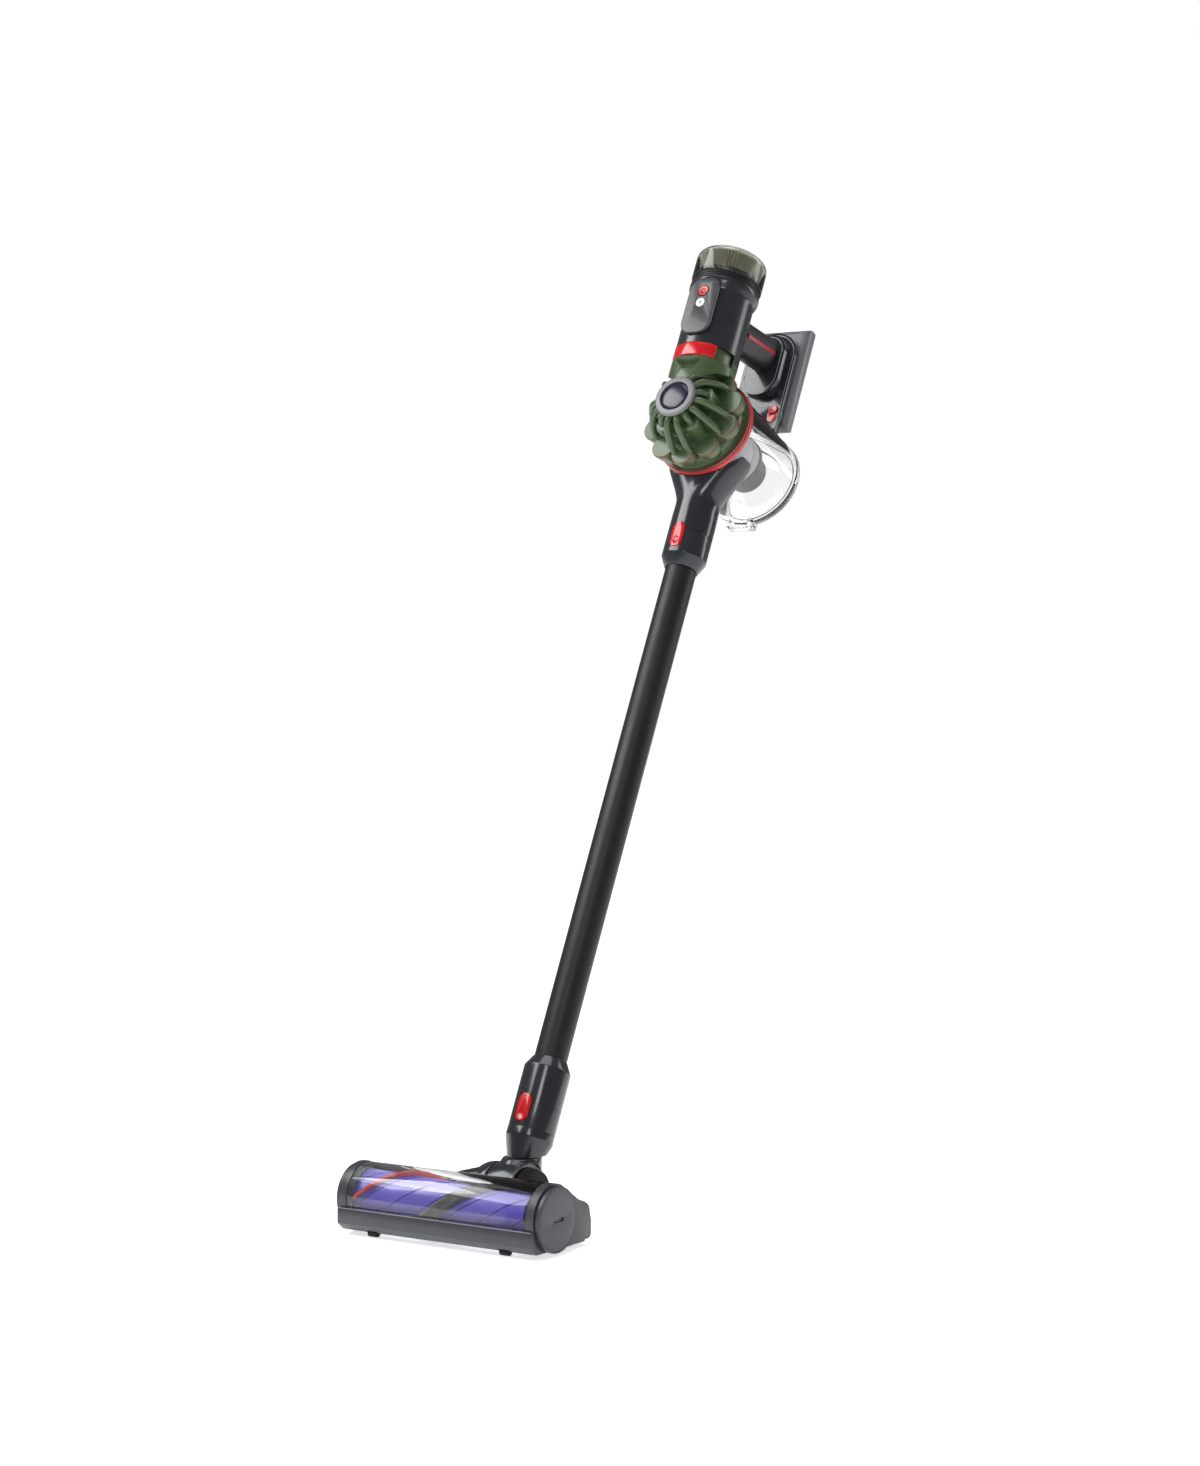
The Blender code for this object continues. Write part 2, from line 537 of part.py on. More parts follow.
def make_bin(bin_frame):
    """Clear bin with its inlet opening, a red rim ring, and a hinged lid."""
    inner = BIN_R - BIN_WALL
    body = turned("bin_body", CLEAR, bin_frame,
                  [(BIN_R, 0.0264), (BIN_R, -BIN_END), (inner, -BIN_END), (inner, 0.0264)], 40)
    port = block("bin_port_cutter", None, bin_frame, (-0.0200, -0.08, -0.0190), (0.0200, -0.04, 0.0190))
    cut(body, port)
    sleeve("bin_rim_ring", RELEASE_RED, bin_frame, 0.0588, BIN_R + GAP, 0.0206, 0.0264, 40)
    lid_top = -BIN_END - GAP
    lid = turned("bin_lid", CLEAR, bin_frame,
                 [(0.0, lid_top - 0.0038), (0.0360, lid_top - 0.0038), (0.0380, lid_top),
                  (BIN_R + 0.0006, lid_top), (BIN_R + 0.0006, lid_top - 0.0080),
                  (0.0500, lid_top - 0.0095), (0.0400, lid_top - 0.0070),
                  (0.0380, lid_top - 0.0062), (0.0, lid_top - 0.0062)], 36)
    knuckle = rod("lid_knuckle", None, bin_frame, 0.0036,
                  (-0.0110, -0.0602, -0.0965), (0.0110, -0.0602, -0.0965), 16)
    knuckle_bore = rod("lid_knuckle_bore", None, bin_frame, 0.0014, (-0.02, -0.0602, -0.0965),
                       (0.02, -0.0602, -0.0965), 12)
    web = block("lid_web", None, bin_frame, (-0.0110, -0.0600, -0.0995), (0.0110, -0.0540, -0.0945))
    fuse(lid, knuckle, web)
    cut(lid, knuckle_bore)
    for side in (-1, 1):
        ear = block(f"bin_ear_{side}", None, bin_frame, (side * 0.0137 - 0.0024, -0.0632, -0.0990),
                    (side * 0.0137 + 0.0024, -0.0545, -0.0860))
        clear = rod(f"bin_ear_clear_{side}", None, bin_frame, BIN_R + 0.0014, (0, 0, lid_top + GAP / 2),
                    (0, 0, -0.12), 48)
        cut(ear, clear)
        fuse(body, ear)
        bore = rod(f"bin_ear_bore_{side}", None, bin_frame, 0.0014,
                   (side * 0.0137 - 0.0035, -0.0602, -0.0965), (side * 0.0137 + 0.0035, -0.0602, -0.0965), 12)
        cut(body, bore)
    rod("lid_hinge_pin", STEEL, bin_frame, 0.0011,
        (-0.0158, -0.0602, -0.0965), (0.0158, -0.0602, -0.0965), 12)


# ---------------------------------------------------------------- cyclone unit
def finger_path(turn, long_finger):
    """Air duct from the hub, arching out over a cyclone and down to its top."""
    if long_finger:
        stations = ((0.0150, 0.0895), (0.0250, 0.0905), (0.0335, 0.0865), (0.0400, 0.0770),
                    (0.0455, 0.0660), (0.0480, 0.0540))
    else:
        stations = ((0.0150, 0.0890), (0.0230, 0.0900), (0.0285, 0.0865), (0.0305, 0.0790))
    return [(r * math.cos(turn), r * math.sin(turn), z) for r, z in stations]


def cone_mesh(radius, top, low, high, turn, reach, sides=12):
    """One small cyclone body, standing on the pack at a turn and a reach from its axis."""
    form = bmesh.new()
    bmesh.ops.create_cone(form, cap_ends=True, segments=sides, radius1=radius, radius2=top, depth=high - low)
    bmesh.ops.translate(form, vec=(reach * math.cos(turn), reach * math.sin(turn), (low + high) / 2),
                        verts=form.verts)
    mesh = bpy.data.meshes.new("cyclone_cone")
    form.to_mesh(mesh)
    form.free()
    return mesh


def make_cyclones(bin_frame):
    """Green pack: flange, fluted skirt, ten outer and five inner cyclones, air fingers."""
    pack = turned("cyclone_pack", CYCLONE_GREEN, bin_frame,
                  [(0.0180, 0.0950), (0.0180, 0.0700), (0.0330, 0.0660), (0.0330, 0.0420), (0.0515, 0.0400),
                   (0.0525, 0.0310), (0.0585, 0.0300), (0.0585, 0.0268), (0.0132, 0.0268),
                   (0.0132, 0.0950)], 36)
    for tier in (0, 1):
        turns = [math.radians(18 + 72 * i + 36 * tier) for i in range(5)]
        outer = [cone_mesh(0.0125, 0.0145, 0.0320, 0.0560, turn, 0.0472) for turn in turns]
        fuse(pack, ring_of(f"outer_cyclones_{tier}", outer, bin_frame))
    inner = [cone_mesh(0.0075, 0.0108, 0.0600, 0.0800, math.radians(90 + 72 * i), 0.0285) for i in range(5)]
    fuse(pack, ring_of("inner_cyclones", inner, bin_frame))
    for kind in range(3):
        paths = []
        for i in range(5):
            guide = pipe(f"finger_{kind}_{i}", None, bin_frame,
                         finger_path(math.radians(90 + 72 * i + 24 * kind), kind > 0), 0.0040)
            paths.append(guide.data)
            bpy.data.objects.remove(guide)
        fuse(pack, ring_of(f"fingers_{kind}", paths, bin_frame))
    return pack


def make_shoulder(machine):
    """Green shoulder under the lever: the cyclones' outlet into the motor housing."""
    shoulder = rod("outlet_shoulder", CYCLONE_GREEN, machine, MOTOR_R, (0, MOTOR_BACK, 0.9500),
                   (0, MOTOR_BACK, HOUSING_LOW - GAP), 36)
    back = block("shoulder_back_cutter", None, machine, (-0.06, -0.0580, 0.93), (0.06, 0.0, 1.05))
    slope = prism("shoulder_slope_cutter", None, machine,
                  [(-0.1000, 0.9540), (-0.0925, 0.9545), (-0.0750, 0.9715), (-0.0500, 0.9790),
                   (-0.0500, 0.9300), (-0.1000, 0.9300)], 0.10, (0, 0, 0), TO_YZ)
    scoop = rod("shoulder_scoop_cutter", None, machine, 0.0200,
                (0, -0.1080, 0.9700), (0, -0.1000, 0.9840), 20)
    airway = rod("shoulder_airway_cutter", None, machine, 0.0085, (0, -0.0690, 0.95), (0, -0.0690, 1.02), 16)
    lever_seat = sleeve("lever_seat_cutter", None, machine, MOTOR_R + 0.01, MOTOR_R - 0.0034, 0.9796, 1.0, 40)
    lever_seat.location = (0, MOTOR_BACK, 0)
    cut(shoulder, back, slope, scoop, airway, lever_seat)


def make_shroud(bin_frame):
    """Perforated shroud, its skirt and the dark cup below, hung in the bin under the pack."""
    sleeve("bin_gasket", RUBBER, bin_frame, 0.0534, 0.0365, 0.0236, 0.0264, 32)
    sleeve("shroud", SHROUD_GREY, bin_frame, 0.0360, 0.0342, -0.0450, 0.0232, 28)
    turned("shroud_cup", MATT_BLACK, bin_frame,
           [(0.0372, -0.0454), (0.0372, -0.0500), (0.0265, -0.0560), (0.0265, -0.0800), (0.0250, -0.0820),
            (0.0100, -0.0820), (0.0100, -0.0800), (0.0240, -0.0790), (0.0240, -0.0570), (0.0340, -0.0490),
            (0.0340, -0.0454)], 24)


def make_prefilter(bin_frame):
    """Grey ring cap with a dark lens on a long washable filter that drops down the middle."""
    turned("prefilter_cap", CAP_GREY, bin_frame,
           [(0.0178, 0.0990), (0.0235, 0.0985), (0.0250, 0.0970), (0.0250, 0.0954), (0.0178, 0.0954)], 32)
    dome = [(0.0, 0.0998)]
    for angle in (30, 60, 90):
        turn = math.radians(angle)
        dome.append((0.0174 * math.sin(turn), 0.0963 + 0.0035 * math.cos(turn)))
    turned("prefilter_lens", LENS_DARK, bin_frame, dome + [(0.0174, 0.0960), (0.0, 0.0960)], 28)
    sleeve("prefilter_sleeve", FILTER_WHITE, bin_frame, 0.0126, 0.0090, -0.0300, 0.0950, 20)


def make_lever(machine):
    """Red bin-release lever, curved around the front of the shoulder."""
    outer = arc(MOTOR_R + 0.0006, 222, 318, 13, (0.0, MOTOR_BACK))
    inner = arc(MOTOR_R - 0.0026, 318, 222, 13, (0.0, MOTOR_BACK))
    prism("release_lever", RELEASE_RED, machine, outer + inner, 0.0160, (0, 0, 0.9882))


# ---------------------------------------------------------------- motor body
def make_motor_body(machine):
    """Motor housing with its open lower back half, flared rim and exhaust grille."""
    wall = 0.0022
    housing = turned("motor_housing", GLOSS_DARK, machine,
                     [(0.0400, 1.0815), (0.0400, 1.0765), (MOTOR_R, 1.0680), (MOTOR_R, HOUSING_SKIRT),
                      (MOTOR_R - wall, HOUSING_SKIRT), (MOTOR_R - wall, 1.0680), (0.0378, 1.0765),
                      (0.0378, 1.0815)], 36, (0, MOTOR_BACK, 0))
    front = block("housing_front_cutter", None, machine, (-0.06, -0.12, 0.95), (0.06, -0.0576, HOUSING_LOW))
    panel = prism("panel_seat_cutter", None, machine, rounded(0.0192, 0.0362, 0.0150, 5, (0, 1.0420)), 0.0200,
                  (0, -0.1030, 0), TO_XZ)
    cut(housing, front, panel)
    grille = turned("exhaust_grille", MATT_BLACK, machine,
                    [(0.0396, 1.0900), (0.0396, 1.0819), (0.0300, 1.0819), (0.0300, 1.0842),
                     (0.0370, 1.0842), (0.0370, 1.0900)], 28, (0, MOTOR_BACK, 0))
    slots = []
    for i in range(12):
        turn = math.radians(30 * i)
        slots.append(slot_mesh((0.0120, 0.0035, 0.0030), (0.0400, 0.0, 1.0872), turn))
    cut(grille, ring_of("grille_slots", slots, machine, (0, MOTOR_BACK, 0)))


def slot_mesh(size, centre, turn):
    """A small box pushed out from the frame's Z and turned about it."""
    form = bmesh.new()
    bmesh.ops.create_cube(form, size=1.0)
    bmesh.ops.scale(form, vec=size, verts=form.verts)
    bmesh.ops.translate(form, vec=centre, verts=form.verts)
    bmesh.ops.rotate(form, cent=(0, 0, 0), matrix=Matrix.Rotation(turn, 3, "Z"), verts=form.verts)
    mesh = bpy.data.meshes.new("slot")
    form.to_mesh(mesh)
    form.free()
    return mesh


def make_motor(machine):
    """Motor can in a soft mount, with its shaft and impeller."""
    centre = (0, MOTOR_BACK, 0)
    turned("motor_stator", STEEL, machine,
           [(0.0250, 1.0500), (0.0250, 1.0100), (0.0032, 1.0100), (0.0032, 1.0500)], 28, centre)
    turned("motor_mount", RUBBER, machine,
           [(0.0300, 1.0300), (0.0300, 1.0200), (0.0253, 1.0200), (0.0253, 1.0300)], 28, centre)
    rod("motor_shaft", STEEL, machine, 0.0025, (0, MOTOR_BACK, 1.0060), (0, MOTOR_BACK, 1.0680), 12)
    turned("impeller", GLOSS_DARK, machine,
           [(0.0080, 1.0660), (0.0220, 1.0560), (0.0220, 1.0530), (0.0028, 1.0530), (0.0028, 1.0660)],
           24, centre)
    block("control_board", COPPER_BOARD, machine, (-0.0085, -0.0900, 1.0100), (0.0085, -0.0886, 1.0640))


def make_filter_cap(machine):
    """Smoky cap over the pleated exhaust filter."""
    centre = (0, MOTOR_BACK, 0)
    turned("filter_cap", SMOKE, machine,
           [(0.0, CAP_HIGH), (0.0350, CAP_HIGH), (0.0390, CAP_HIGH - 0.0015), (CAP_R, CAP_HIGH - 0.0060),
            (CAP_R, CAP_LOW), (CAP_R - 0.0020, CAP_LOW), (CAP_R - 0.0020, CAP_HIGH - 0.0060),
            (0.0370, CAP_HIGH - 0.0030), (0.0, CAP_HIGH - 0.0030)], 32, centre)
    pleats = 24
    rings = []
    for along in (CAP_LOW + 0.0006, CAP_HIGH - 0.0040):
        ring = []
        for i in range(2 * pleats):
            turn = math.pi * i / pleats
            radius = 0.0365 if i % 2 == 0 else 0.0325
            ring.append((radius * math.cos(turn), MOTOR_BACK + radius * math.sin(turn), along))
        rings.append(ring)
    pleated = loft("exhaust_filter", FILTER_WHITE, machine, rings)
    core = rod("filter_core_cutter", None, machine, 0.0280, (0, MOTOR_BACK, 1.08), (0, MOTOR_BACK, 1.13), 24)
    cut(pleated, core)


def make_controls(machine):
    """Raised control panel with two round keys."""
    panel = prism("control_panel", GLOSS_DARK, machine,
                  rounded(0.0188, 0.0358, 0.0147, 5, (0, 1.0420)), 0.0046, (0, -0.0954, 0), TO_XZ)
    for name, look, along, radius in (("power_button", RELEASE_RED, 1.0607, 0.0060),
                                      ("mode_button", KEY_WHITE, 1.0453, 0.0055)):
        well = rod(name + "_well", None, machine, radius + 0.0004, (0, -0.10, along), (0, -0.0948, along), 20)
        cut(panel, well)
        rod(name, look, machine, radius, (0, -0.0984, along), (0, -0.0962, along), 20)


# ---------------------------------------------------------------- handle, foot and battery
def make_handle(machine):
    """Oval grip from the motor housing to the foot, with a crimson line on each side."""
    axis = make_frame("grip_frame", machine, (0, 0, GRIP_ALONG), (GRIP_TILT, 0, 0))
    rings = []
    for back in (-0.0300, 0.0620):
        rings.append([(x, back, z) for x, z, _ in oval_ring(0, 0.0165, 0.0218, 2.2)])
    grip = loft("handle_grip", MATT_BLACK, axis, rings)
    seat = rod("handle_seat_cutter", None, machine, MOTOR_R + 2 * GAP, (0, MOTOR_BACK, 0.95),
               (0, MOTOR_BACK, 1.15), 40)
    flare = rod("handle_flare_cutter", None, machine, MOTOR_R + 2 * GAP, (0, MOTOR_BACK, 1.0660),
                (0, MOTOR_BACK, 1.0800), 40, top=0.0425)
    front = block("handle_end_cutter", None, machine, (-0.05, FOOT_FRONT - GAP, 0.95), (0.05, 0.09, 1.15))
    cut(grip, seat, flare, front)
    for side, word in ((-1, "left"), (1, "right")):
        x = side * 0.0163
        groove = block(f"grip_groove_{word}", None, axis,
                       (x - 0.0013, -0.04, -0.0028), (x + 0.0013, 0.07, 0.0028))
        cut(grip, groove)
        block(f"grip_line_{word}", CRIMSON, axis,
              (x - 0.0009, -0.0130, -0.0024), (x + 0.0003, 0.0490, 0.0024))


def make_foot(machine, bin_frame):
    """Foot that joins the grip to the bin and receives the battery."""
    step = 0.0640                  # front face of the foot's wide base
    foot = prism("handle_foot", MATT_BLACK, machine, rounded(0.0325, 0.0690, 0.0320, 6, (0, 1.0350)),
                 FOOT_BACK - step, (0, (FOOT_BACK + step) / 2, 0), TO_XZ)
    raised = prism("foot_raised", None, machine, rounded(0.0245, 0.0400, 0.0240, 6, (0, 1.0550)),
                   0.0140, (0, FOOT_FRONT + 0.0070, 0), TO_XZ)
    base = block("foot_base", None, machine, (-0.0310, step, 0.9560), (0.0310, FOOT_BACK, 1.0050))
    rail = block("foot_rail", None, machine, (-0.0090, -0.0190, 0.9650), (0.0090, 0.0700, 0.9860))
    saddle = rod("foot_saddle_cutter", None, bin_frame, BIN_R + GAP, (0, 0, 0.03), (0, 0, -0.12), 48)
    socket = block("battery_socket_cutter", None, machine, (-0.0153, 0.0620, 1.0197), (0.0153, 0.08, 1.0603))
    key = rod("battery_key_well", None, machine, 0.0057, (KEY_X, step - 0.001, KEY_ALONG),
              (KEY_X, step + 0.0040, KEY_ALONG), 20)
    fuse(foot, raised, base, rail)
    cut(foot, saddle, socket, key)
    rod("battery_button", RELEASE_RED, machine, 0.0053, (KEY_X, step - 0.0026, KEY_ALONG),
        (KEY_X, step + 0.0020, KEY_ALONG), 20)


def make_battery(machine):
    """Flat pack with six cells behind a cover; its plug enters the foot."""
    middle = (PACK_HIGH + PACK_LOW) / 2
    section = rounded(PACK_HALF, (PACK_BACK - PACK_FRONT) / 2, 0.0060, 4, (0, (PACK_BACK + PACK_FRONT) / 2))
    tray = prism("battery_case", PACK_GREY, machine, section, PACK_HIGH - PACK_LOW, (0, 0, middle))
    hollow = block("battery_hollow_cutter", None, machine, (-0.0318, PACK_FRONT + 0.0012, PACK_LOW + 0.0025),
                   (0.0318, 0.12, PACK_HIGH - 0.0025))
    plug = block("battery_plug", None, machine,
                 (-0.0150, 0.0630, 1.0200), (0.0150, PACK_FRONT + 0.0010, 1.0600))
    cut(tray, hollow)
    fuse(tray, plug)
    block("battery_cover", MATT_BLACK, machine, (-0.0315, PACK_BACK - 0.0012, PACK_LOW + 0.0028),
          (0.0315, PACK_BACK, PACK_HIGH - 0.0028))
    for row, word in enumerate(("lower", "upper")):
        low = PACK_LOW + 0.0030 + row * 0.0632
        cells = rod(f"battery_cells_{word}", CELL_BLUE, machine, 0.0090, (0, 0.0835, low),
                    (0, 0.0835, low + 0.0626), 16)
        for side in (-1, 1):
            x = side * 0.0215
            cell = rod(f"cell_{word}_{side}", None, machine, 0.0090,
                       (x, 0.0835, low), (x, 0.0835, low + 0.0626), 16)
            fuse(cells, cell)
        holder = block(f"cell_holder_{word}", None, machine, (-0.0260, 0.0815, low + 0.0280),
                       (0.0260, 0.0855, low + 0.0340))
        fuse(cells, holder)


def make_all():
    base = make_frame("base_frame", None, (0, SHIFT_Y, SHIFT_Z))
    head = make_frame("head_frame", base)
    machine = make_frame("machine_frame", base, (0, WAND_FOOT_Y, 0), (-LEAN, 0, 0))
    bin_frame = make_frame("bin_frame", machine, (0, 0, BIN_ALONG), (math.pi / 2, 0, 0))
    make_head_housing(head)
    make_window(head)
    make_sole(head)
    make_end_covers(head)
    make_brush(head)
    make_rollers(head)
    make_elbow(head)
    make_neck_socket(machine, head)
    make_wand(machine)
    make_inlet(machine, bin_frame)
    make_bin(bin_frame)
    make_cyclones(bin_frame)
    make_shoulder(machine)
    make_shroud(bin_frame)
    make_prefilter(bin_frame)
    make_lever(machine)
    make_motor_body(machine)
    make_motor(machine)
    make_filter_cap(machine)
    make_controls(machine)
    make_handle(machine)
    make_foot(machine, bin_frame)
    make_battery(machine)


clear_scene()
PARTS = make_collection(PART_NAME)
CUTTERS = make_collection("cutters")
make_all()
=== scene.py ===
"""Looks of the cordless stick vacuum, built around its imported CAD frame.

Head pieces are laid out upright around the brush axis.  Everything above the neck is laid out in
the machine frame: Z runs up the wand ("along"), Y points square to it towards the user ("back").
The bin frame has its Z along the bin's axis, towards the front.
"""
import json
import random
from math import atan2, copysign, cos, pi, radians, sin, sqrt, tan

import bmesh
import bpy
from mathutils import Matrix, Vector


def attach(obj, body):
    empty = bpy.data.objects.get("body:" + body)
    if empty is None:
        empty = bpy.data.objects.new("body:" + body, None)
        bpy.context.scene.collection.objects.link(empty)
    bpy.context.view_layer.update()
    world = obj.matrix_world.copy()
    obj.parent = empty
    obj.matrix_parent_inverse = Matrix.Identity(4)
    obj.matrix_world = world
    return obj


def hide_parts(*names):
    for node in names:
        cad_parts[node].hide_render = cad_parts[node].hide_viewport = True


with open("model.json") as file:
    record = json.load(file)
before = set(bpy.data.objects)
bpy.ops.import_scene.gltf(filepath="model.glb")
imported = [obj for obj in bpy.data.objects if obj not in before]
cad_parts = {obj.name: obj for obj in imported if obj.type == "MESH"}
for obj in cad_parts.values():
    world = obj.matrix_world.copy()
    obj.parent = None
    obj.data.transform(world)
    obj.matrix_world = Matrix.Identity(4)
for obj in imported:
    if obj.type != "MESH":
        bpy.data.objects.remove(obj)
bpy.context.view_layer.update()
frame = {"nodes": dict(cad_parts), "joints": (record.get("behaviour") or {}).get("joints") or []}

# ---------------------------------------------------------------- frames, from the record's joints
JOINTS = {joint["name"]: joint for joint in frame["joints"]}
UP = -Vector(JOINTS["wand_pull"]["axis"]).normalized()
LEAN = atan2(UP.y, UP.z)
BRUSH_Z = 0.0365                # brush axis above the head frame's floor
MOTOR_BACK = -0.0575
MOTOR_ALONG = 1.03              # where the motor joint's point lies, along
BIN_ALONG = 0.9240
GRIP_ALONG = 1.0552
GRIP_TILT = radians(12.4)
SEAM_DEPTH, SEAM_HALF = 0.0004, 0.00018
CORE_RADIUS = 0.0245            # brush core
BRISTLE_START, CARBON_START, BRUSH_TWIST = 175, 343, -335      # degrees round the brush
HEAD_END = 0.1193
SIDES = ((-1, "left"), (1, "right"))
LINE_X = 0.0163                 # crimson lines on the grip's sides
BIN_SEAT = 0.0563               # radius in which the bin lies
BIN_HINGE_EAR = 0.0137
NECK_BUTTON, WAND_BUTTON = 0.1225, 0.7905                      # middles of the red buttons, along
POWER_ALONG, MODE_ALONG, KEY_BACK = 1.0607, 1.0453, -0.0962

# Axes that run across, as (y, z) in the head frame and, for the hinge, in the bin frame
BRUSH_AT = (0.0, BRUSH_Z)
PITCH_AT = (0.1000, 0.0360)
WHEEL_AT = (0.0500, 0.0104)
ROLLER_AT = (-0.0262, 0.0052)
HINGE_AT = (-0.0602, -0.0965)


def shift(x=0.0, y=0.0, z=0.0):
    return Matrix.Translation((x, y, z))


def turn(angle, axis):
    return Matrix.Rotation(angle, 4, axis)


def fill(node, values):
    """Sets a shader node's inputs by name."""
    for name, value in values.items():
        node.inputs[name].default_value = value


def new_look(name):
    """A material, its node tree and its shader."""
    look = bpy.data.materials.new(name)
    look.use_nodes = True
    return look, look.node_tree, look.node_tree.nodes["Principled BSDF"]


HEAD = Matrix.Translation(Vector(JOINTS["brush_spin"]["pos_m"]) - Vector((0, 0, BRUSH_Z)))
LEANING = turn(-LEAN, "X")
MACHINE = Matrix.Translation(Vector(JOINTS["motor_spin"]["pos_m"])
                             - LEANING @ Vector((0, MOTOR_BACK, MOTOR_ALONG))) @ LEANING
MOTOR = MACHINE @ shift(0, MOTOR_BACK, 0)
BIN = MACHINE @ shift(0, 0, BIN_ALONG) @ turn(pi / 2, "X")
GRIP = MACHINE @ shift(0, 0, GRIP_ALONG) @ turn(GRIP_TILT, "X")
BRUSH = HEAD @ shift(0, 0, BRUSH_Z) @ turn(pi / 2, "Y")
PITCH = HEAD @ shift(0, *PITCH_AT) @ turn(pi / 2, "Y")
NECK_Y = 0.0867 + 0.0705 * tan(LEAN)

# ---------------------------------------------------------------- camera, light and floor
scene = bpy.context.scene
scene.view_settings.view_transform = "Standard"


def make_camera():
    data = bpy.data.cameras.new("camera")
    data.sensor_fit = "VERTICAL"
    data.sensor_height = 36.0
    data.lens = 70.51
    data.clip_end = 100.0
    camera = bpy.data.objects.new("camera", data)
    scene.collection.objects.link(camera)
    azimuth, elevation = radians(33.633), radians(1.258)
    look = Vector((-sin(azimuth) * cos(elevation), cos(azimuth) * cos(elevation),
                   -sin(elevation)))
    place = look.to_track_quat("-Z", "Y").to_matrix().to_4x4() @ turn(radians(0.172), "Z")
    camera.matrix_world = Matrix.Translation((1.69329, -2.59932, 0.56863)) @ place
    scene.camera = camera


def area_light(name, place, target, width, height, power):
    data = bpy.data.lights.new(name, "AREA")
    data.shape = "RECTANGLE"
    data.size = width
    data.size_y = height
    data.energy = power
    light = bpy.data.objects.new(name, data)
    scene.collection.objects.link(light)
    aim = Vector(target) - Vector(place)
    light.matrix_world = Matrix.Translation(place) @ aim.to_track_quat("-Z", "Y").to_matrix().to_4x4()


def make_world():
    """White where the background is seen, dimmer where it lights and mirrors."""
    world = bpy.data.worlds.new("studio")
    scene.world = world
    world.use_nodes = True
    nodes, links = world.node_tree.nodes, world.node_tree.links
    path = nodes.new("ShaderNodeLightPath")
    seen = nodes.new("ShaderNodeMath")
    seen.operation = "MAXIMUM"
    links.new(path.outputs["Is Camera Ray"], seen.inputs[0])
    straight = nodes.new("ShaderNodeMath")
    straight.operation = "SUBTRACT"
    straight.use_clamp = True
    links.new(path.outputs["Is Transmission Ray"], straight.inputs[0])
    links.new(path.outputs["Diffuse Depth"], straight.inputs[1])
    links.new(straight.outputs[0], seen.inputs[1])
    level = nodes.new("ShaderNodeMapRange")
    fill(level, {"To Min": 0.17, "To Max": 1.0})
    links.new(seen.outputs[0], level.inputs["Value"])
    background = nodes["Background"]
    background.inputs["Color"].default_value = (1, 1, 1, 1)
    links.new(level.outputs["Result"], background.inputs["Strength"])


def make_floor():
    mesh = bpy.data.meshes.new("floor")
    size = 12.0
    corners = [(-size, -size, 0), (size, -size, 0), (size, size, 0), (-size, size, 0)]
    mesh.from_pydata(corners, [], [(0, 1, 2, 3)])
    floor = bpy.data.objects.new("floor", mesh)
    floor.location.z = -0.0005
    scene.collection.objects.link(floor)
    look, _, shader = new_look("floor")
    fill(shader, {"Base Color": (0.93, 0.93, 0.93, 1), "Roughness": 0.9, "Specular IOR Level": 0.1,
                  "Emission Color": (1, 1, 1, 1), "Emission Strength": 0.66})
    mesh.materials.append(look)


make_camera()
make_world()
make_floor()
area_light("key", (-1.42, -1.38, 2.40), (0, -0.15, 0.6), 2.2, 1.3, 58)
area_light("front", (1.5, -2.6, 2.3), (0, 0, 0.75), 0.7, 0.7, 12)
area_light("rear", (1.7, 1.9, 1.6), (0, 0, 0.6), 0.7, 1.8, 12)
sun = bpy.data.lights.new("overhead", "SUN")
sun.energy = 0.95
sun.angle = radians(40)
scene.collection.objects.link(bpy.data.objects.new("overhead", sun))


# ---------------------------------------------------------------- materials
def noise_node(tree, coords, scale, detail=3.0):
    node = tree.nodes.new("ShaderNodeTexNoise")
    fill(node, {"Scale": scale, "Detail": detail})
    tree.links.new(coords, node.inputs["Vector"])
    return node.outputs["Fac"]


def ranged(tree, source, low, high, start=0.3, end=0.7):
    """Spreads what lies between start and end from low to high."""
    node = tree.nodes.new("ShaderNodeMapRange")
    fill(node, {"From Min": start, "From Max": end, "To Min": low, "To Max": high})
    tree.links.new(source, node.inputs["Value"])
    return node.outputs["Result"]


def mixed(tree, factor, first, second):
    node = tree.nodes.new("ShaderNodeMix")
    node.data_type = "RGBA"
    tree.links.new(factor, node.inputs["Factor"])
    fill(node, {"A": (*first, 1), "B": (*second, 1)})
    return node.outputs["Result"]


def bumped(tree, height, depth):
    node = tree.nodes.new("ShaderNodeBump")
    fill(node, {"Strength": 1.0, "Distance": depth})
    tree.links.new(height, node.inputs["Height"])
    return node.outputs["Normal"]


def moulded(name, colour, roughness, metallic=0.0, coat=0.0, grain=0.00002, grain_scale=1600.0,
            mottle=0.08, spread=0.05, specular=0.5, sheen=0.0):
    """Plastic, metal or rubber: slow colour mottle, smudged roughness and fine grain."""
    look, tree, shader = new_look(name)
    coords = tree.nodes.new("ShaderNodeTexCoord").outputs["Object"]
    tone = ranged(tree, noise_node(tree, coords, 38.0), 0.0, 1.0)
    darker = [c * (1 - mottle) for c in colour]
    lighter = [c * (1 + mottle) for c in colour]
    tree.links.new(mixed(tree, tone, darker, lighter), shader.inputs["Base Color"])
    smudge = noise_node(tree, coords, 16.0, 5.0)
    tree.links.new(ranged(tree, smudge, max(roughness - spread, 0.03), roughness + spread),
                   shader.inputs["Roughness"])
    normal = bumped(tree, noise_node(tree, coords, grain_scale, 2.0), grain)
    tree.links.new(normal, shader.inputs["Normal"])
    fill(shader, {"Metallic": metallic, "Coat Weight": coat, "Coat Roughness": 0.06,
                  "Specular IOR Level": specular, "Sheen Weight": sheen})
    return look


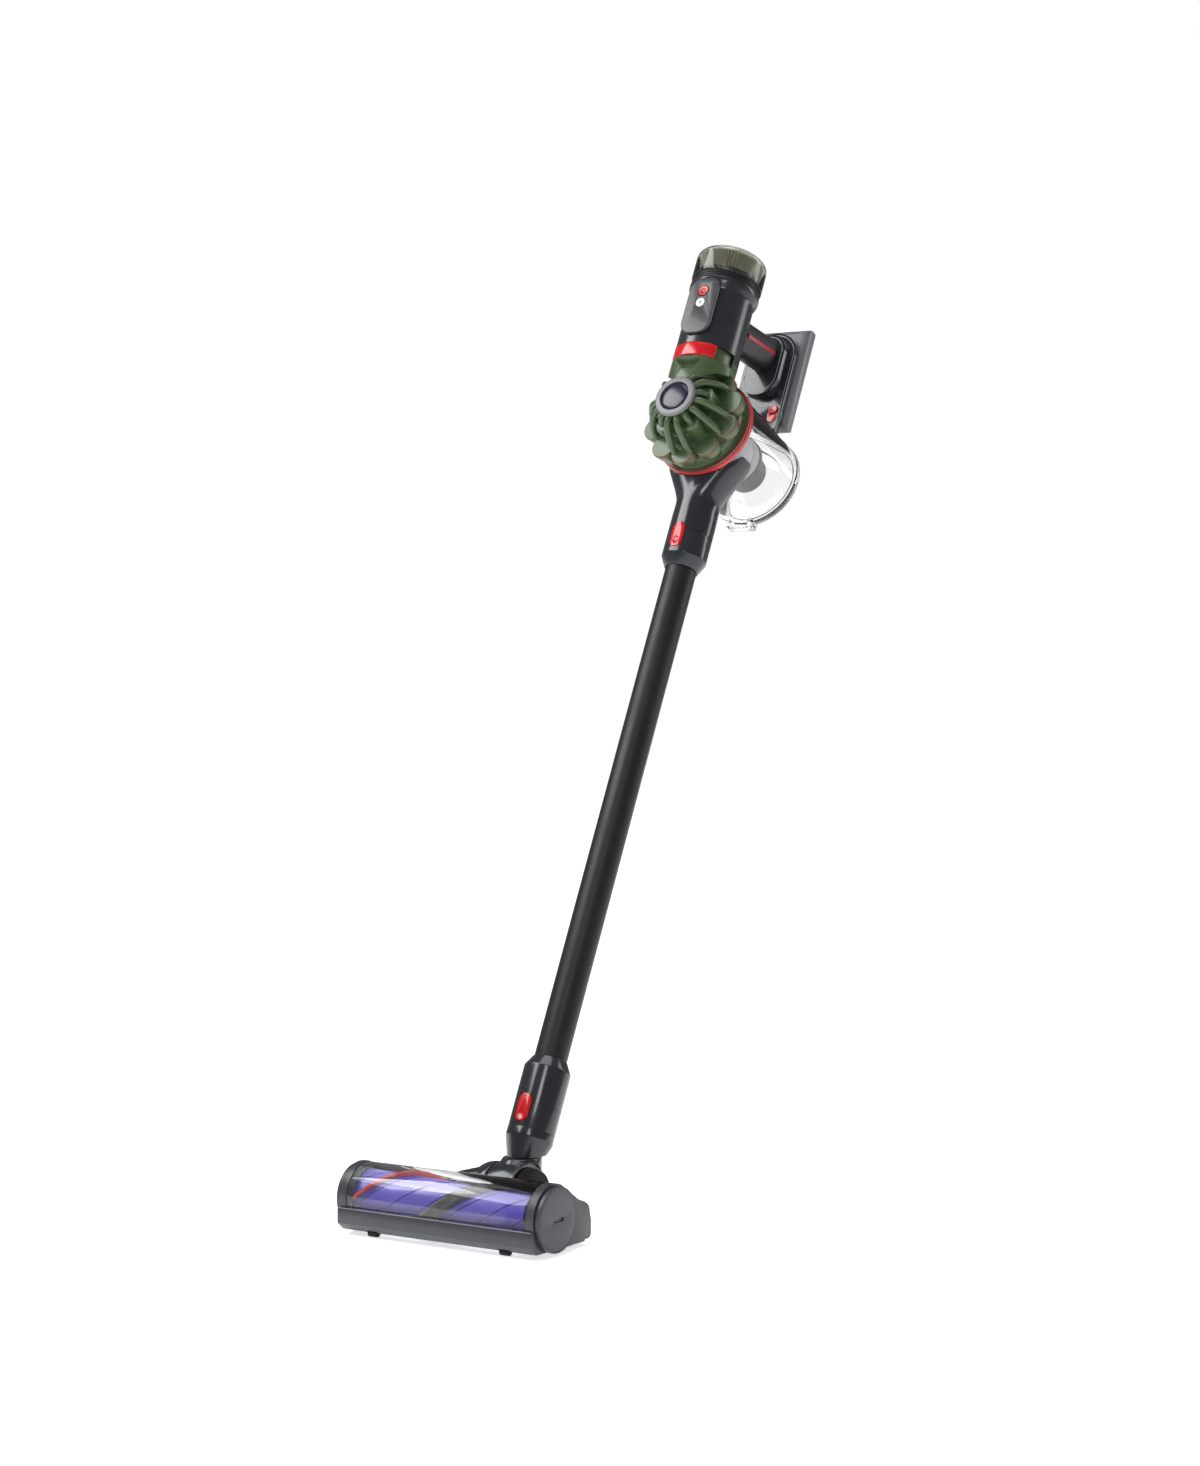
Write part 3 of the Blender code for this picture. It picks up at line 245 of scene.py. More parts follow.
def clear_look(name, tint, roughness, ior=1.46):
    """Clear plastic that lets lamps through, with faint flow marks."""
    look, tree, shader = new_look(name)
    fill(shader, {"Base Color": (*tint, 1), "Roughness": roughness, "IOR": ior, "Transmission Weight": 1.0})
    coords = tree.nodes.new("ShaderNodeTexCoord").outputs["Object"]
    tree.links.new(bumped(tree, noise_node(tree, coords, 24.0, 1.0), 0.00001), shader.inputs["Normal"])
    path = tree.nodes.new("ShaderNodeLightPath")
    through = tree.nodes.new("ShaderNodeBsdfTransparent")
    through.inputs["Color"].default_value = (*[sqrt(c) for c in tint], 1)
    mix = tree.nodes.new("ShaderNodeMixShader")
    tree.links.new(path.outputs["Is Shadow Ray"], mix.inputs["Fac"])
    tree.links.new(shader.outputs["BSDF"], mix.inputs[1])
    tree.links.new(through.outputs["BSDF"], mix.inputs[2])
    tree.links.new(mix.outputs["Shader"], tree.nodes["Material Output"].inputs["Surface"])
    return look


def striped(name, colour, dark, across, roughness, depth, spacing):
    """Filaments or paper: fine wavy stripes across one object axis."""
    look = moulded(name, colour, roughness, grain=0.00005, grain_scale=2600.0, sheen=0.3)
    tree = look.node_tree
    shader = tree.nodes["Principled BSDF"]
    wave = tree.nodes.new("ShaderNodeTexWave")
    wave.bands_direction = across
    fill(wave, {"Scale": 0.314 / spacing, "Distortion": 1.2, "Detail": 2.0})
    coords = tree.nodes.new("ShaderNodeTexCoord").outputs["Object"]
    tree.links.new(coords, wave.inputs["Vector"])
    tree.links.new(mixed(tree, wave.outputs["Fac"], dark, colour), shader.inputs["Base Color"])
    tree.links.new(bumped(tree, wave.outputs["Fac"], depth), shader.inputs["Normal"])
    return look


def perforated(name, colour, painted_hole_shade, pitch):
    """Pale screen with round holes in a square grid of the UV map, which is in metres. The holes are not cut:
    they are painted dark grey, a painted shade for the dark seen through real holes.
    """
    look = moulded(name, colour, 0.42, grain=0.00001)
    tree = look.node_tree
    shader = tree.nodes["Principled BSDF"]
    source = tree.nodes.new("ShaderNodeTexCoord").outputs["UV"]
    chain = []
    for operation in ("SCALE", "FRACTION", "DISTANCE"):
        node = tree.nodes.new("ShaderNodeVectorMath")
        node.operation = operation
        tree.links.new(source, node.inputs[0])
        source = node.outputs[0]
        chain.append(node)
    scaled, _, away = chain
    scaled.inputs["Scale"].default_value = 1 / pitch
    away.inputs[1].default_value = (0.5, 0.5, 0.0)
    edge = ranged(tree, away.outputs["Value"], 0.0, 1.0, 0.26, 0.34)
    tree.links.new(mixed(tree, edge, painted_hole_shade, colour), shader.inputs["Base Color"])
    tree.links.new(bumped(tree, edge, 0.0002), shader.inputs["Normal"])
    return look


GLOSS = moulded("gloss_dark", (0.019, 0.022, 0.028), 0.20, coat=0.25, grain=0.000002)
PANEL = moulded("panel_dark", (0.030, 0.032, 0.036), 0.34, coat=0.1, grain=0.000003)
MATT = moulded("matt_black", (0.011, 0.012, 0.014), 0.42, grain=0.00003)
WAND = moulded("wand_black", (0.010, 0.010, 0.011), 0.44, metallic=0.2, grain=0.000008, grain_scale=2400.0)
GREY = moulded("head_grey", (0.043, 0.047, 0.056), 0.36, grain=0.00002)
RED = moulded("release_red", (0.560, 0.004, 0.010), 0.22, coat=0.35, grain=0.000002)
CRIMSON = moulded("crimson", (0.400, 0.008, 0.040), 0.36)
GREEN = moulded("cyclone_green", (0.058, 0.092, 0.036), 0.33, coat=0.15, grain=0.00001)
RINGS = moulded("cap_grey", (0.170, 0.170, 0.180), 0.42, metallic=0.2, grain=0.00001)
LENS = moulded("lens_dark", (0.010, 0.006, 0.030), 0.24, coat=0.15, grain=0.000001)
PACK = moulded("pack_grey", (0.180, 0.185, 0.198), 0.36, metallic=0.25, grain=0.00002)
PURPLE = moulded("brush_purple", (0.045, 0.028, 0.300), 0.34, coat=0.2, grain=0.00001)
RUBBER = moulded("rubber", (0.014, 0.014, 0.015), 0.72, grain=0.00005, specular=0.3)
STEEL = moulded("steel", (0.560, 0.570, 0.580), 0.26, metallic=1.0, grain=0.00001, grain_scale=900.0)
WHITE = moulded("key_white", (0.780, 0.780, 0.780), 0.28, coat=0.3)
BAND = moulded("band_grey", (0.300, 0.310, 0.325), 0.30, coat=0.2)
BOARD = moulded("board_green", (0.020, 0.140, 0.060), 0.45, mottle=0.25)
CELLS = moulded("cell_blue", (0.050, 0.160, 0.350), 0.35, coat=0.3)
CLEAR = clear_look("clear", (0.950, 0.956, 0.958), 0.02)
SMOKE = clear_look("smoke", (0.520, 0.525, 0.480), 0.03)
# Dark glass used only for the window's end rings: painted shade.
SHADE = clear_look("painted_window_shade", (0.300, 0.300, 0.320), 0.10)
BRISTLE = striped("bristle_red", (0.600, 0.012, 0.030), (0.300, 0.004, 0.014), "X", 0.55, 0.00020, 0.0009)
CARBON = striped("carbon", (0.022, 0.022, 0.023), (0.006, 0.006, 0.006), "X", 0.50, 0.00025, 0.0008)
FELT = moulded("filter_felt", (0.640, 0.620, 0.520), 0.90, grain=0.00012, grain_scale=1200.0, sheen=0.4)
PAPER = moulded("filter_paper", (0.480, 0.475, 0.385), 0.85, grain=0.00008, grain_scale=1500.0, sheen=0.3)
# The screen's holes are painted dark grey discs: painted shade.
SCREEN = perforated("shroud_screen", (0.620, 0.630, 0.640), (0.120, 0.120, 0.125), 0.0016)

# ---------------------------------------------------------------- shape helpers
scraps = []


def raw(mesh, matrix):
    """An object for a mesh under construction."""
    obj = bpy.data.objects.new("scrap", mesh)
    obj.matrix_world = matrix
    scene.collection.objects.link(obj)
    obj.hide_render = True
    scraps.append(obj)
    return obj


def mesh_from(form):
    bmesh.ops.recalc_face_normals(form, faces=form.faces)
    mesh = bpy.data.meshes.new("mesh")
    form.to_mesh(mesh)
    form.free()
    return mesh


def soften(points, radius, closed=True, steps=4, floor=radians(12)):
    """Rounds the corners of a profile or outline."""
    made = []
    count = len(points)
    for i, point in enumerate(points):
        here = Vector(point)
        if not closed and i in (0, count - 1):
            made.append(tuple(here))
            continue
        before, after = Vector(points[i - 1]) - here, Vector(points[(i + 1) % count]) - here
        if before.length < 1e-7 or after.length < 1e-7 or before.angle(-after) < floor:
            made.append(tuple(here))
            continue
        reach = min(radius, 0.45 * before.length, 0.45 * after.length)
        start, end = here + before.normalized() * reach, here + after.normalized() * reach
        for k in range(steps + 1):
            t = k / steps
            made.append(tuple(start * (1 - t) ** 2 + here * 2 * t * (1 - t) + end * t * t))
    return made


def lathe(profile, matrix, sides=96, round_off=0.0005):
    """A ring or solid turned about Z from (radius, height) points; the UV map is in metres."""
    closed = min(radius for radius, _ in profile) > 1e-6
    profile = soften(profile, round_off, closed) if round_off else profile
    form = bmesh.new()
    layer = form.loops.layers.uv.new("UVMap")
    rows = []
    for radius, height in profile:
        if radius < 1e-6:
            rows.append([form.verts.new((0, 0, height))])
            continue
        turns = [2 * pi * i / sides for i in range(sides)]
        rows.append([form.verts.new((radius * cos(at), radius * sin(at), height)) for at in turns])
    pairs = [(i, i + 1) for i in range(len(rows) - 1)]
    if closed:
        pairs.append((len(rows) - 1, 0))
    for low, high in pairs:
        wide = 2 * pi * max(profile[low][0], profile[high][0]) / sides
        for i in range(sides):
            corners = [(low, i), (low, i + 1), (high, i + 1), (high, i)]
            if len(rows[low]) == 1:
                corners = [(low, 0), (high, i + 1), (high, i)]
            elif len(rows[high]) == 1:
                corners = [(low, i), (low, i + 1), (high, 0)]
            face = form.faces.new([rows[row][k % len(rows[row])] for row, k in corners])
            for loop, (row, k) in zip(face.loops, corners):
                loop[layer].uv = (k * wide, profile[row][1])
    return raw(mesh_from(form), matrix)


def plate(outline, low, high, axis, matrix):
    """A flat outline given thickness along one axis of its frame, from low to high."""
    form = bmesh.new()
    place = {"X": lambda u, v, d: (d, u, v), "Y": lambda u, v, d: (u, d, v),
             "Z": lambda u, v, d: (u, v, d)}[axis]
    bottom = [form.verts.new(place(u, v, low)) for u, v in outline]
    top = [form.verts.new(place(u, v, high)) for u, v in outline]
    count = len(outline)
    for i in range(count):
        j = (i + 1) % count
        form.faces.new((bottom[i], bottom[j], top[j], top[i]))
    form.faces.new(list(reversed(bottom)))
    form.faces.new(top)
    return raw(mesh_from(form), matrix)


def box(low, high, matrix):
    return plate([(low[0], low[1]), (high[0], low[1]), (high[0], high[1]), (low[0], high[1])],
                 low[2], high[2], "Z", matrix)


def rod(radius, start, end, matrix, sides=64, top=None):
    """A plain round bar or cone, mostly a cutter."""
    start, end = Vector(start), Vector(end)
    form = bmesh.new()
    bmesh.ops.create_cone(form, cap_ends=True, segments=sides, radius1=radius,
                          radius2=radius if top is None else top, depth=(end - start).length)
    aim = (end - start).to_track_quat("Z", "Y").to_matrix().to_4x4()
    return raw(mesh_from(form), matrix @ Matrix.Translation((start + end) / 2) @ aim)


def crossbar(radius, start, end, axis, matrix, sides):
    """A rod along X from start to end, round an axis given as (y, z)."""
    return rod(radius, (start, *axis), (end, *axis), matrix, sides)


def post(radius, where, start, end, matrix, sides=64, top=None):
    """A rod along Z from start to end, at a place given as (x, y)."""
    return rod(radius, (*where, start), (*where, end), matrix, sides, top)


def wall(outer, inner, high, low):
    """Profile of a plain ring."""
    return [(outer, high), (outer, low), (inner, low), (inner, high)]


def loft(rings, matrix, looped=False):
    form = bmesh.new()
    rows = [[form.verts.new(point) for point in ring] for ring in rings]
    pairs = list(zip(rows, rows[1:])) + ([(rows[-1], rows[0])] if looped else [])
    size = len(rows[0])
    for low, high in pairs:
        for i in range(size):
            j = (i + 1) % size
            form.faces.new((low[i], low[j], high[j], high[i]))
    if not looped:
        form.faces.new(list(reversed(rows[0])))
        form.faces.new(rows[-1])
    return raw(mesh_from(form), matrix)


def spline(a, b, c, d, t):
    """A Catmull-Rom curve between b and c, with t from 0 to 1."""
    return 0.5 * (2 * b + (c - a) * t + (2 * a - 5 * b + 4 * c - d) * t * t
                  + (3 * b - a - 3 * c + d) * t ** 3)


def smooth_path(points, steps=8):
    """A Catmull-Rom curve through points."""
    points = [Vector(p) for p in points]
    padded = [2 * points[0] - points[1], *points, 2 * points[-1] - points[-2]]
    made = []
    for a, b, c, d in zip(padded, padded[1:], padded[2:], padded[3:]):
        made += [spline(a, b, c, d, k / steps) for k in range(steps)]
    return made + [points[-1]]


def sweep(points, radius, matrix, sides=20, tip=None):
    """A round bar along a path with a domed far end; tip is its radius there."""
    tip = radius if tip is None else tip
    count = len(points)
    angles = [2 * pi * k / sides for k in range(sides)]
    rings = []
    side = None

    def add_ring(middle, size):
        rings.append([middle + (side * cos(a) + other * sin(a)) * size for a in angles])

    for i, here in enumerate(points):
        along = (points[min(i + 1, count - 1)] - points[max(i - 1, 0)]).normalized()
        side = along.orthogonal() if side is None else side - along * side.dot(along)
        side.normalize()
        other = along.cross(side)
        add_ring(here, radius + (tip - radius) * i / (count - 1))
    for angle in (30, 60, 80):
        lift, size = tip * sin(radians(angle)), tip * cos(radians(angle))
        add_ring(points[-1] + along * lift, size)
    return loft(rings, matrix)


def arc(radius, start, end, count, centre=(0.0, 0.0)):
    return [(centre[0] + radius * cos(radians(start + (end - start) * i / (count - 1))),
             centre[1] + radius * sin(radians(start + (end - start) * i / (count - 1))))
            for i in range(count)]


def rounded(half_x, half_y, corner, centre=(0.0, 0.0), count=14):
    points = []
    for quarter, (sx, sy) in enumerate(((1, 1), (-1, 1), (-1, -1), (1, -1))):
        middle = (centre[0] + sx * (half_x - corner), centre[1] + sy * (half_y - corner))
        points += arc(corner, 90 * quarter, 90 * quarter + 90, count, middle)
    return points


def oval(along, half_x, half_y, power=2.0, count=96):
    ring = []
    for i in range(count):
        cosine, sine = cos(2 * pi * i / count), sin(2 * pi * i / count)
        ring.append((half_x * copysign(abs(cosine) ** (2 / power), cosine),
                     half_y * copysign(abs(sine) ** (2 / power), sine), along))
    return ring


def modify(obj, operation, tools):
    for tool in tools:
        modifier = obj.modifiers.new("boolean", "BOOLEAN")
        modifier.operation = operation
        modifier.solver = "EXACT"
        modifier.object = tool
    return obj


def cut(obj, *tools):
    return modify(obj, "DIFFERENCE", tools)


def fuse(obj, *tools):
    return modify(obj, "UNION", tools)


def joined(objects):
    """Several scraps as one mesh in world coordinates."""
    bpy.context.view_layer.update()
    graph = bpy.context.evaluated_depsgraph_get()
    form = bmesh.new()
    for obj in objects:
        mesh = bpy.data.meshes.new_from_object(obj.evaluated_get(graph))
        mesh.transform(obj.matrix_world)
        form.from_mesh(mesh)
        bpy.data.meshes.remove(mesh)
    joint = bpy.data.meshes.new("mesh")
    form.to_mesh(joint)
    form.free()
    return raw(joint, Matrix.Identity(4))


def melted(objects, voxel, rounds):
    """Several solids run together into one moulding, with small fillets where they meet."""
    obj = joined(objects)
    remesh = obj.modifiers.new("remesh", "REMESH")
    remesh.mode = "VOXEL"
    remesh.voxel_size = voxel
    relax = obj.modifiers.new("relax", "SMOOTH")
    relax.factor = 0.5
    relax.iterations = rounds
    return obj


def piece(obj, name, body, look, slot, *nodes, edge=0.0, sharp=32):
    """Finishes a shape: small rounded edges, its final mesh in the row frame, its look and its body."""
    if edge:
        modifier = obj.modifiers.new("edge", "BEVEL")
        modifier.width = edge
        modifier.segments = 3
        modifier.limit_method = "ANGLE"
        modifier.angle_limit = radians(35)
    bpy.context.view_layer.update()
    graph = bpy.context.evaluated_depsgraph_get()
    mesh = bpy.data.meshes.new_from_object(obj.evaluated_get(graph))
    mesh.transform(obj.matrix_world)
    mesh.materials.clear()
    mesh.materials.append(look)
    mesh.shade_smooth()
    mesh.set_sharp_from_angle(angle=radians(sharp))
    made = bpy.data.objects.new(name, mesh)
    scene.collection.objects.link(made)
    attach(made, body)
    if nodes:
        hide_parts(*nodes)
    for scrap in scraps:
        bpy.data.objects.remove(scrap)
    scraps.clear()
    return made


def stand_in(obj, node, body, look, slot, **finish):
    """The visible piece for one CAD node."""
    return piece(obj, node + "_v", body, look, slot, node, **finish)


# ---------------------------------------------------------------- cleaner head
def make_head():
    crown = arc(0.0348, 193, 66, 64, BRUSH_AT)
    rear = soften([(0.0300, 0.0585), (0.0440, 0.0495), (0.0560, 0.0455), (0.0625, 0.0410), (0.0650, 0.0300),
                   (0.0660, 0.0270), (0.0660, 0.0110), (0.0630, 0.0085), (0.0300, 0.0060)], 0.0030, False)
    front = [(-0.0285, 0.0060), (-0.0365, 0.0127), (-0.0373, 0.0142), (-0.0373, 0.0272), (-0.0367, 0.0282)]
    housing = plate(front + crown + rear, -0.1190, 0.1190, "X", HEAD)
    cutters = [crossbar(0.0322, -0.1150, 0.1290, BRUSH_AT, HEAD, 96),
               box((-0.1070, -0.0215, -0.01), (0.1070, 0.0220, 0.0200), HEAD),
               box((-0.1100, -0.06, 0.0290), (0.1100, 0.0262, 0.10), HEAD),
               crossbar(0.0325, -0.0300, 0.0300, PITCH_AT, HEAD, 96),
               box((-0.0140, 0.0200, 0.0200), (0.0140, 0.0800, 0.0400), HEAD)]
    cut(housing, *cutters)
    for side in (-1, 1):
        ear = plate(rounded(0.0290, 0.0150, 0.0120, (0.0830, 0.0310)), side * 0.0365 - 0.0050,
                    side * 0.0365 + 0.0050, "X", HEAD)
        fuse(housing, ear)
        cut(housing, crossbar(0.0043, side * 0.0250, side * 0.0390, PITCH_AT, HEAD, 32),
            crossbar(0.0105, side * 0.0700, side * 0.0860, WHEEL_AT, HEAD, 48),
            crossbar(0.0048, side * 0.0745, side * 0.0875, ROLLER_AT, HEAD, 32))
    stand_in(housing, "head_housing", "head", GREY, "head_grey", edge=0.0004)

    outline = arc(0.0346, 192, 42.5, 84, BRUSH_AT) + arc(0.0332, 42.5, 192, 84, BRUSH_AT)
    stand_in(plate(outline, -0.1096, 0.1096, "X", HEAD), "head_window", "head", CLEAR, "clear",
          edge=0.0003)
    # Three thin rings of dark smoked glass at each end of the window, in no CAD node: painted shade for the
    # darkness at the window's ends.
    for side, word in SIDES:
        rings = []
        for step, (inner, outer) in enumerate(((0.0262, 0.0318), (0.0272, 0.0316), (0.0282, 0.0314))):
            x = side * (0.1080 - 0.0016 * step)
            shell = [(outer, x - 0.0004), (inner, x - 0.0004), (inner, x + 0.0004), (outer, x + 0.0004)]
            rings.append(lathe(shell, BRUSH, 96, 0.0001))
        piece(joined(rings), f"window_end_rings_{word}", "head", SHADE, "clear")
    trim = box((-0.1180, -0.0372, 0.0284), (0.1180, -0.0362, 0.0290), HEAD)
    piece(trim, "bumper_trim", "head", BAND, "head_grey", edge=0.0002)
    lower = box((-0.1180, -0.03725, 0.01465), (0.1180, -0.0371, 0.0149), HEAD)
    piece(lower, "bumper_seam", "head", MATT, "matt_black")

    sole = box((-0.1130, -0.0200, 0.0040), (0.1130, 0.0640, 0.0057), HEAD)
    cut(sole, box((-0.1060, -0.05, 0.0), (0.1060, 0.0210, 0.01), HEAD))
    for side in (-1, 1):
        cut(sole, box((side * 0.0780 - 0.0085, 0.0385, 0.0), (side * 0.0780 + 0.0085, 0.0615, 0.01), HEAD))
    stand_in(sole, "sole_plate", "head", GREY, "head_grey", edge=0.0003)
    hairs = []
    for i in range(90):
        x = -0.0990 + 0.1980 * i / 89
        hairs.append(post(0.0010, (x, 0.0250), 0.0037, 0.0021, HEAD, 6, 0.0004))
    hairs.append(box((-0.1000, 0.0232, 0.0030), (0.1000, 0.0268, 0.0037), HEAD))
    piece(joined(hairs), "rear_seal_v", "head", CARBON, "carbon", "rear_seal_strip")

    right = HEAD @ shift(HEAD_END, *BRUSH_AT) @ turn(pi / 2, "Y")
    cap = lathe([(0.0, 0.0057), (0.0302, 0.0057), (0.0304, 0.0053), (0.0308, 0.0053), (0.0310, 0.0057),
                 (0.0320, 0.0057), (0.0325, 0.0051), (0.0325, 0.0004), (0.0314, 0.0), (0.0314, -0.0060),
                 (0.0060, -0.0060), (0.0060, -0.0040), (0.0, -0.0040)], right, 128, 0.0004)
    slot = rounded(0.0092, 0.0021, 0.0020, BRUSH_AT)
    cut(cap, plate(slot, HEAD_END + 0.0040, 0.1300, "X", HEAD))
    stand_in(cap, "end_cap", "end_cap", GREY, "head_grey", edge=0.0001)
    left = HEAD @ shift(-HEAD_END, *BRUSH_AT) @ turn(-pi / 2, "Y")
    cover = lathe([(0.0, 0.0057), (0.0296, 0.0057), (0.0298, 0.0053), (0.0302, 0.0053), (0.0304, 0.0057),
                   (0.0310, 0.0057), (0.0325, 0.0046), (0.0325, 0.0), (0.0, 0.0)], left, 128, 0.0006)
    stand_in(cover, "left_end_cover", "head", GREY, "head_grey")


def helix(start, width, root, tip, x=0.1040, count=160):
    """A strip winding along the brush, as a closed ribbon."""
    rings = []
    for i in range(count):
        share = i / (count - 1)
        angle = radians(start + BRUSH_TWIST * share)
        ring = []
        for radius, side in ((root, -1), (tip - 0.0012, -0.9), (tip, -0.6), (tip, 0.6), (tip - 0.0012, 0.9),
                             (root, 1), (root, 0)):
            at = angle + side * width / (2 * CORE_RADIUS)
            ring.append((-x + 2 * x * share, radius * cos(at), BRUSH_Z + radius * sin(at)))
        rings.append(ring)
    return loft(rings, HEAD)


def tufts(start, count, rows, spread, low, high, thick, seed):
    """Short tapered hairs standing on a winding line of the brush."""
    chance = random.Random(seed)
    made = []
    for i in range(count):
        share = (i + 0.5) / count
        for row in range(rows):
            angle = radians(start + BRUSH_TWIST * share) + spread * (row - (rows - 1) / 2)
            lean = angle + chance.uniform(-0.05, 0.05)
            x = -0.1030 + 0.2060 * share + chance.uniform(-0.0005, 0.0005)
            length = high - chance.uniform(0, 0.0008)
            root = (x, low * cos(angle), BRUSH_Z + low * sin(angle))
            end = (x, length * cos(lean), BRUSH_Z + length * sin(lean))
            made.append(rod(thick, root, end, HEAD, 5, thick * 0.5))
    return joined(made)


def grooved_core():
    """Brush core whose points follow its six helical grooves."""
    count, rows = 288, 140
    rings = []
    for row in range(rows):
        share = row / (rows - 1)
        x = -0.1060 + 0.2140 * share
        end = min(share, 1 - share) * 0.2140
        radius = CORE_RADIUS - max(0.0, 0.0006 - end)
        ring = []
        for i in range(count):
            depth = 0.0011 if i % 48 in (0, 1, 2) else 0.0
            at = 2 * pi * i / count + radians(15 + BRUSH_TWIST * share)
            ring.append((x, (radius - depth) * cos(at), BRUSH_Z + (radius - depth) * sin(at)))
        rings.append(ring)
    return loft(rings, HEAD)


def make_brush():
    core = grooved_core()
    cut(core, crossbar(0.0190, -0.1200, 0.0900, BRUSH_AT, HEAD, 96),
        crossbar(0.0064, -0.0100, 0.1200, BRUSH_AT, HEAD, 48))
    stand_in(core, "brush_bar", "brush", PURPLE, "brush_purple")
    stand_in(helix(BRISTLE_START, 0.0046, 0.0246, 0.0290), "bristle_strip", "brush", BRISTLE, "bristle_red")
    piece(tufts(BRISTLE_START, 120, 2, 0.07, 0.0280, 0.0300, 0.0007, 5), "bristle_tips", "brush", BRISTLE,
          "bristle_red")
    stand_in(helix(CARBON_START, 0.0166, 0.0246, 0.0286), "carbon_strip", "brush", CARBON, "carbon")
    piece(tufts(CARBON_START, 150, 6, 0.10, 0.0275, 0.0299, 0.0006, 9), "carbon_tips", "brush", CARBON,
          "carbon")


def make_rollers():
    for side, word in SIDES:
        at = HEAD @ shift(side * 0.0810, *ROLLER_AT) @ turn(pi / 2, "Y")
        roller = lathe([(0.0, 0.0062), (0.0014, 0.0062), (0.0014, 0.0056), (0.0038, 0.0056),
                        (0.0038, -0.0056), (0.0014, -0.0056), (0.0014, -0.0062),
                        (0.0, -0.0062)], at, 48, 0.0008)
        name = f"front_roller_{word}"
        stand_in(roller, name, name, RUBBER, "rubber")
        at = HEAD @ shift(side * 0.0780, *WHEEL_AT) @ turn(pi / 2, "Y")
        tread = [(0.0, 0.0077), (0.0024, 0.0077), (0.0024, 0.0068), (0.0090, 0.0068)]
        for z in (0.0040, 0.0, -0.0040):
            tread += [(0.0090, z + 0.0005), (0.0086, z + 0.0004), (0.0086, z - 0.0004), (0.0090, z - 0.0005)]
        tread += [(0.0090, -0.0068), (0.0024, -0.0068), (0.0024, -0.0077), (0.0, -0.0077)]
        name = f"rear_wheel_{word}"
        stand_in(lathe(tread, at, 64, 0.0004), name, name, RUBBER, "rubber")


def make_elbow():
    half = 0.0169
    crown = [(0.0315 - 0.0013 * (x / half) ** 2, x) for x in [half - half * i / 8 for i in range(17)]]
    barrel = lathe([(0.0, half), *crown, (0.0, -half)], PITCH, 128, 0.0006)
    neck = post(0.0179, (0, NECK_Y), 0.0400, 0.0702, HEAD, 96)
    skirt = rod(0.0250, (0, 0.1040, 0.0460), (0, NECK_Y, 0.0702), HEAD, 96, 0.0190)
    cut(skirt, box((-0.05, 0.05, 0.0702), (0.05, 0.20, 0.10), HEAD))
    for side in (-1, 1):
        cut(skirt, crossbar(0.0312, side * half, side * 0.05, PITCH_AT, HEAD, 96))
    elbow = melted([barrel, neck, skirt], 0.0006, 6)
    cut(elbow, post(0.0115, (0, NECK_Y), 0.0440, 0.09, HEAD, 48),
        rod(0.0100, (0, 0.06, 0.0330), (0, NECK_Y, 0.0480), HEAD, 48))
    for x in (-0.0110, 0.0110):
        cut(elbow, lathe(wall(0.0360, 0.0293, x + 0.0002, x - 0.0002), PITCH, 96, 0))
    for side in (-1, 1):
        cut(elbow, crossbar(0.0043, side * 0.0120, side * 0.03, PITCH_AT, HEAD, 32))
    stand_in(elbow, "elbow", "elbow", GLOSS, "gloss_dark")
    ribs = [((0.0272 if i % 2 == 0 else 0.0252) - 0.0003 * (8 - i),
             0.0110 - i * 0.0110 / 8) for i in range(9)]
    sleeve = lathe(ribs + [(0.0100, 0.0), (0.0100, 0.0110)], PITCH @ shift(0, 0, 0.0184), 96, 0.0007)
    stand_in(sleeve, "bellows_right", "head", RUBBER, "rubber")
    dome = [(0.0, -0.0184), (0.0300, -0.0184), (0.0298, -0.0240), (0.0288, -0.0300), (0.0264, -0.0350),
            (0.0226, -0.0400), (0.0168, -0.0440), (0.0, -0.0460)]
    arm = rod(0.0180, (-0.0300, 0.0930, 0.0430), (-0.0720, 0.0560, 0.0415), HEAD, 64, 0.0095)
    shell = melted([lathe(dome, PITCH, 96, 0.0020), arm], 0.0007, 8)
    stand_in(shell, "bellows_left", "head", GLOSS, "gloss_dark")


# ---------------------------------------------------------------- neck, wand and inlet
def red_button(node, body, along):
    """Long push button with a curved face and a thumb dish in its lower half, in a dark surround."""
    blank = plate(rounded(0.0076, 0.0150, 0.0076, (0, along), 24), -0.0273, -0.0213, "Y", MACHINE)
    modify(blank, "INTERSECT", [rod(0.0263, (0, 0, along - 0.03), (0, 0, along + 0.03), MACHINE, 160)])
    form = bmesh.new()
    bmesh.ops.create_uvsphere(form, u_segments=48, v_segments=24, radius=0.0120)
    dish = raw(mesh_from(form), MACHINE @ shift(0, -0.0373, along - 0.0072))
    cut(blank, dish)
    stand_in(blank, node, body, RED, "release_red", edge=0.0005)


def recess(along):
    return plate(rounded(0.0081, 0.0155, 0.0081, (0, along), 24), -0.0400, -0.0192, "Y", MACHINE)


def half_seam(radius, along):
    """A thin groove round the right-hand side of a connector."""
    profile = wall(radius + 0.004, radius - SEAM_DEPTH, along + SEAM_HALF, along - SEAM_HALF)
    right_side = box((0.0060, -0.05, along - 0.01), (0.05, 0.05, along + 0.01), MACHINE)
    return modify(lathe(profile, MACHINE, 128, 0), "INTERSECT", [right_side])


def groove(radius, along):
    """Profile points of a seam on a turned wall, running downwards."""
    high, low = along + SEAM_HALF, along - SEAM_HALF
    return [(radius, high), (radius - SEAM_DEPTH, high), (radius - SEAM_DEPTH, low), (radius, low)]


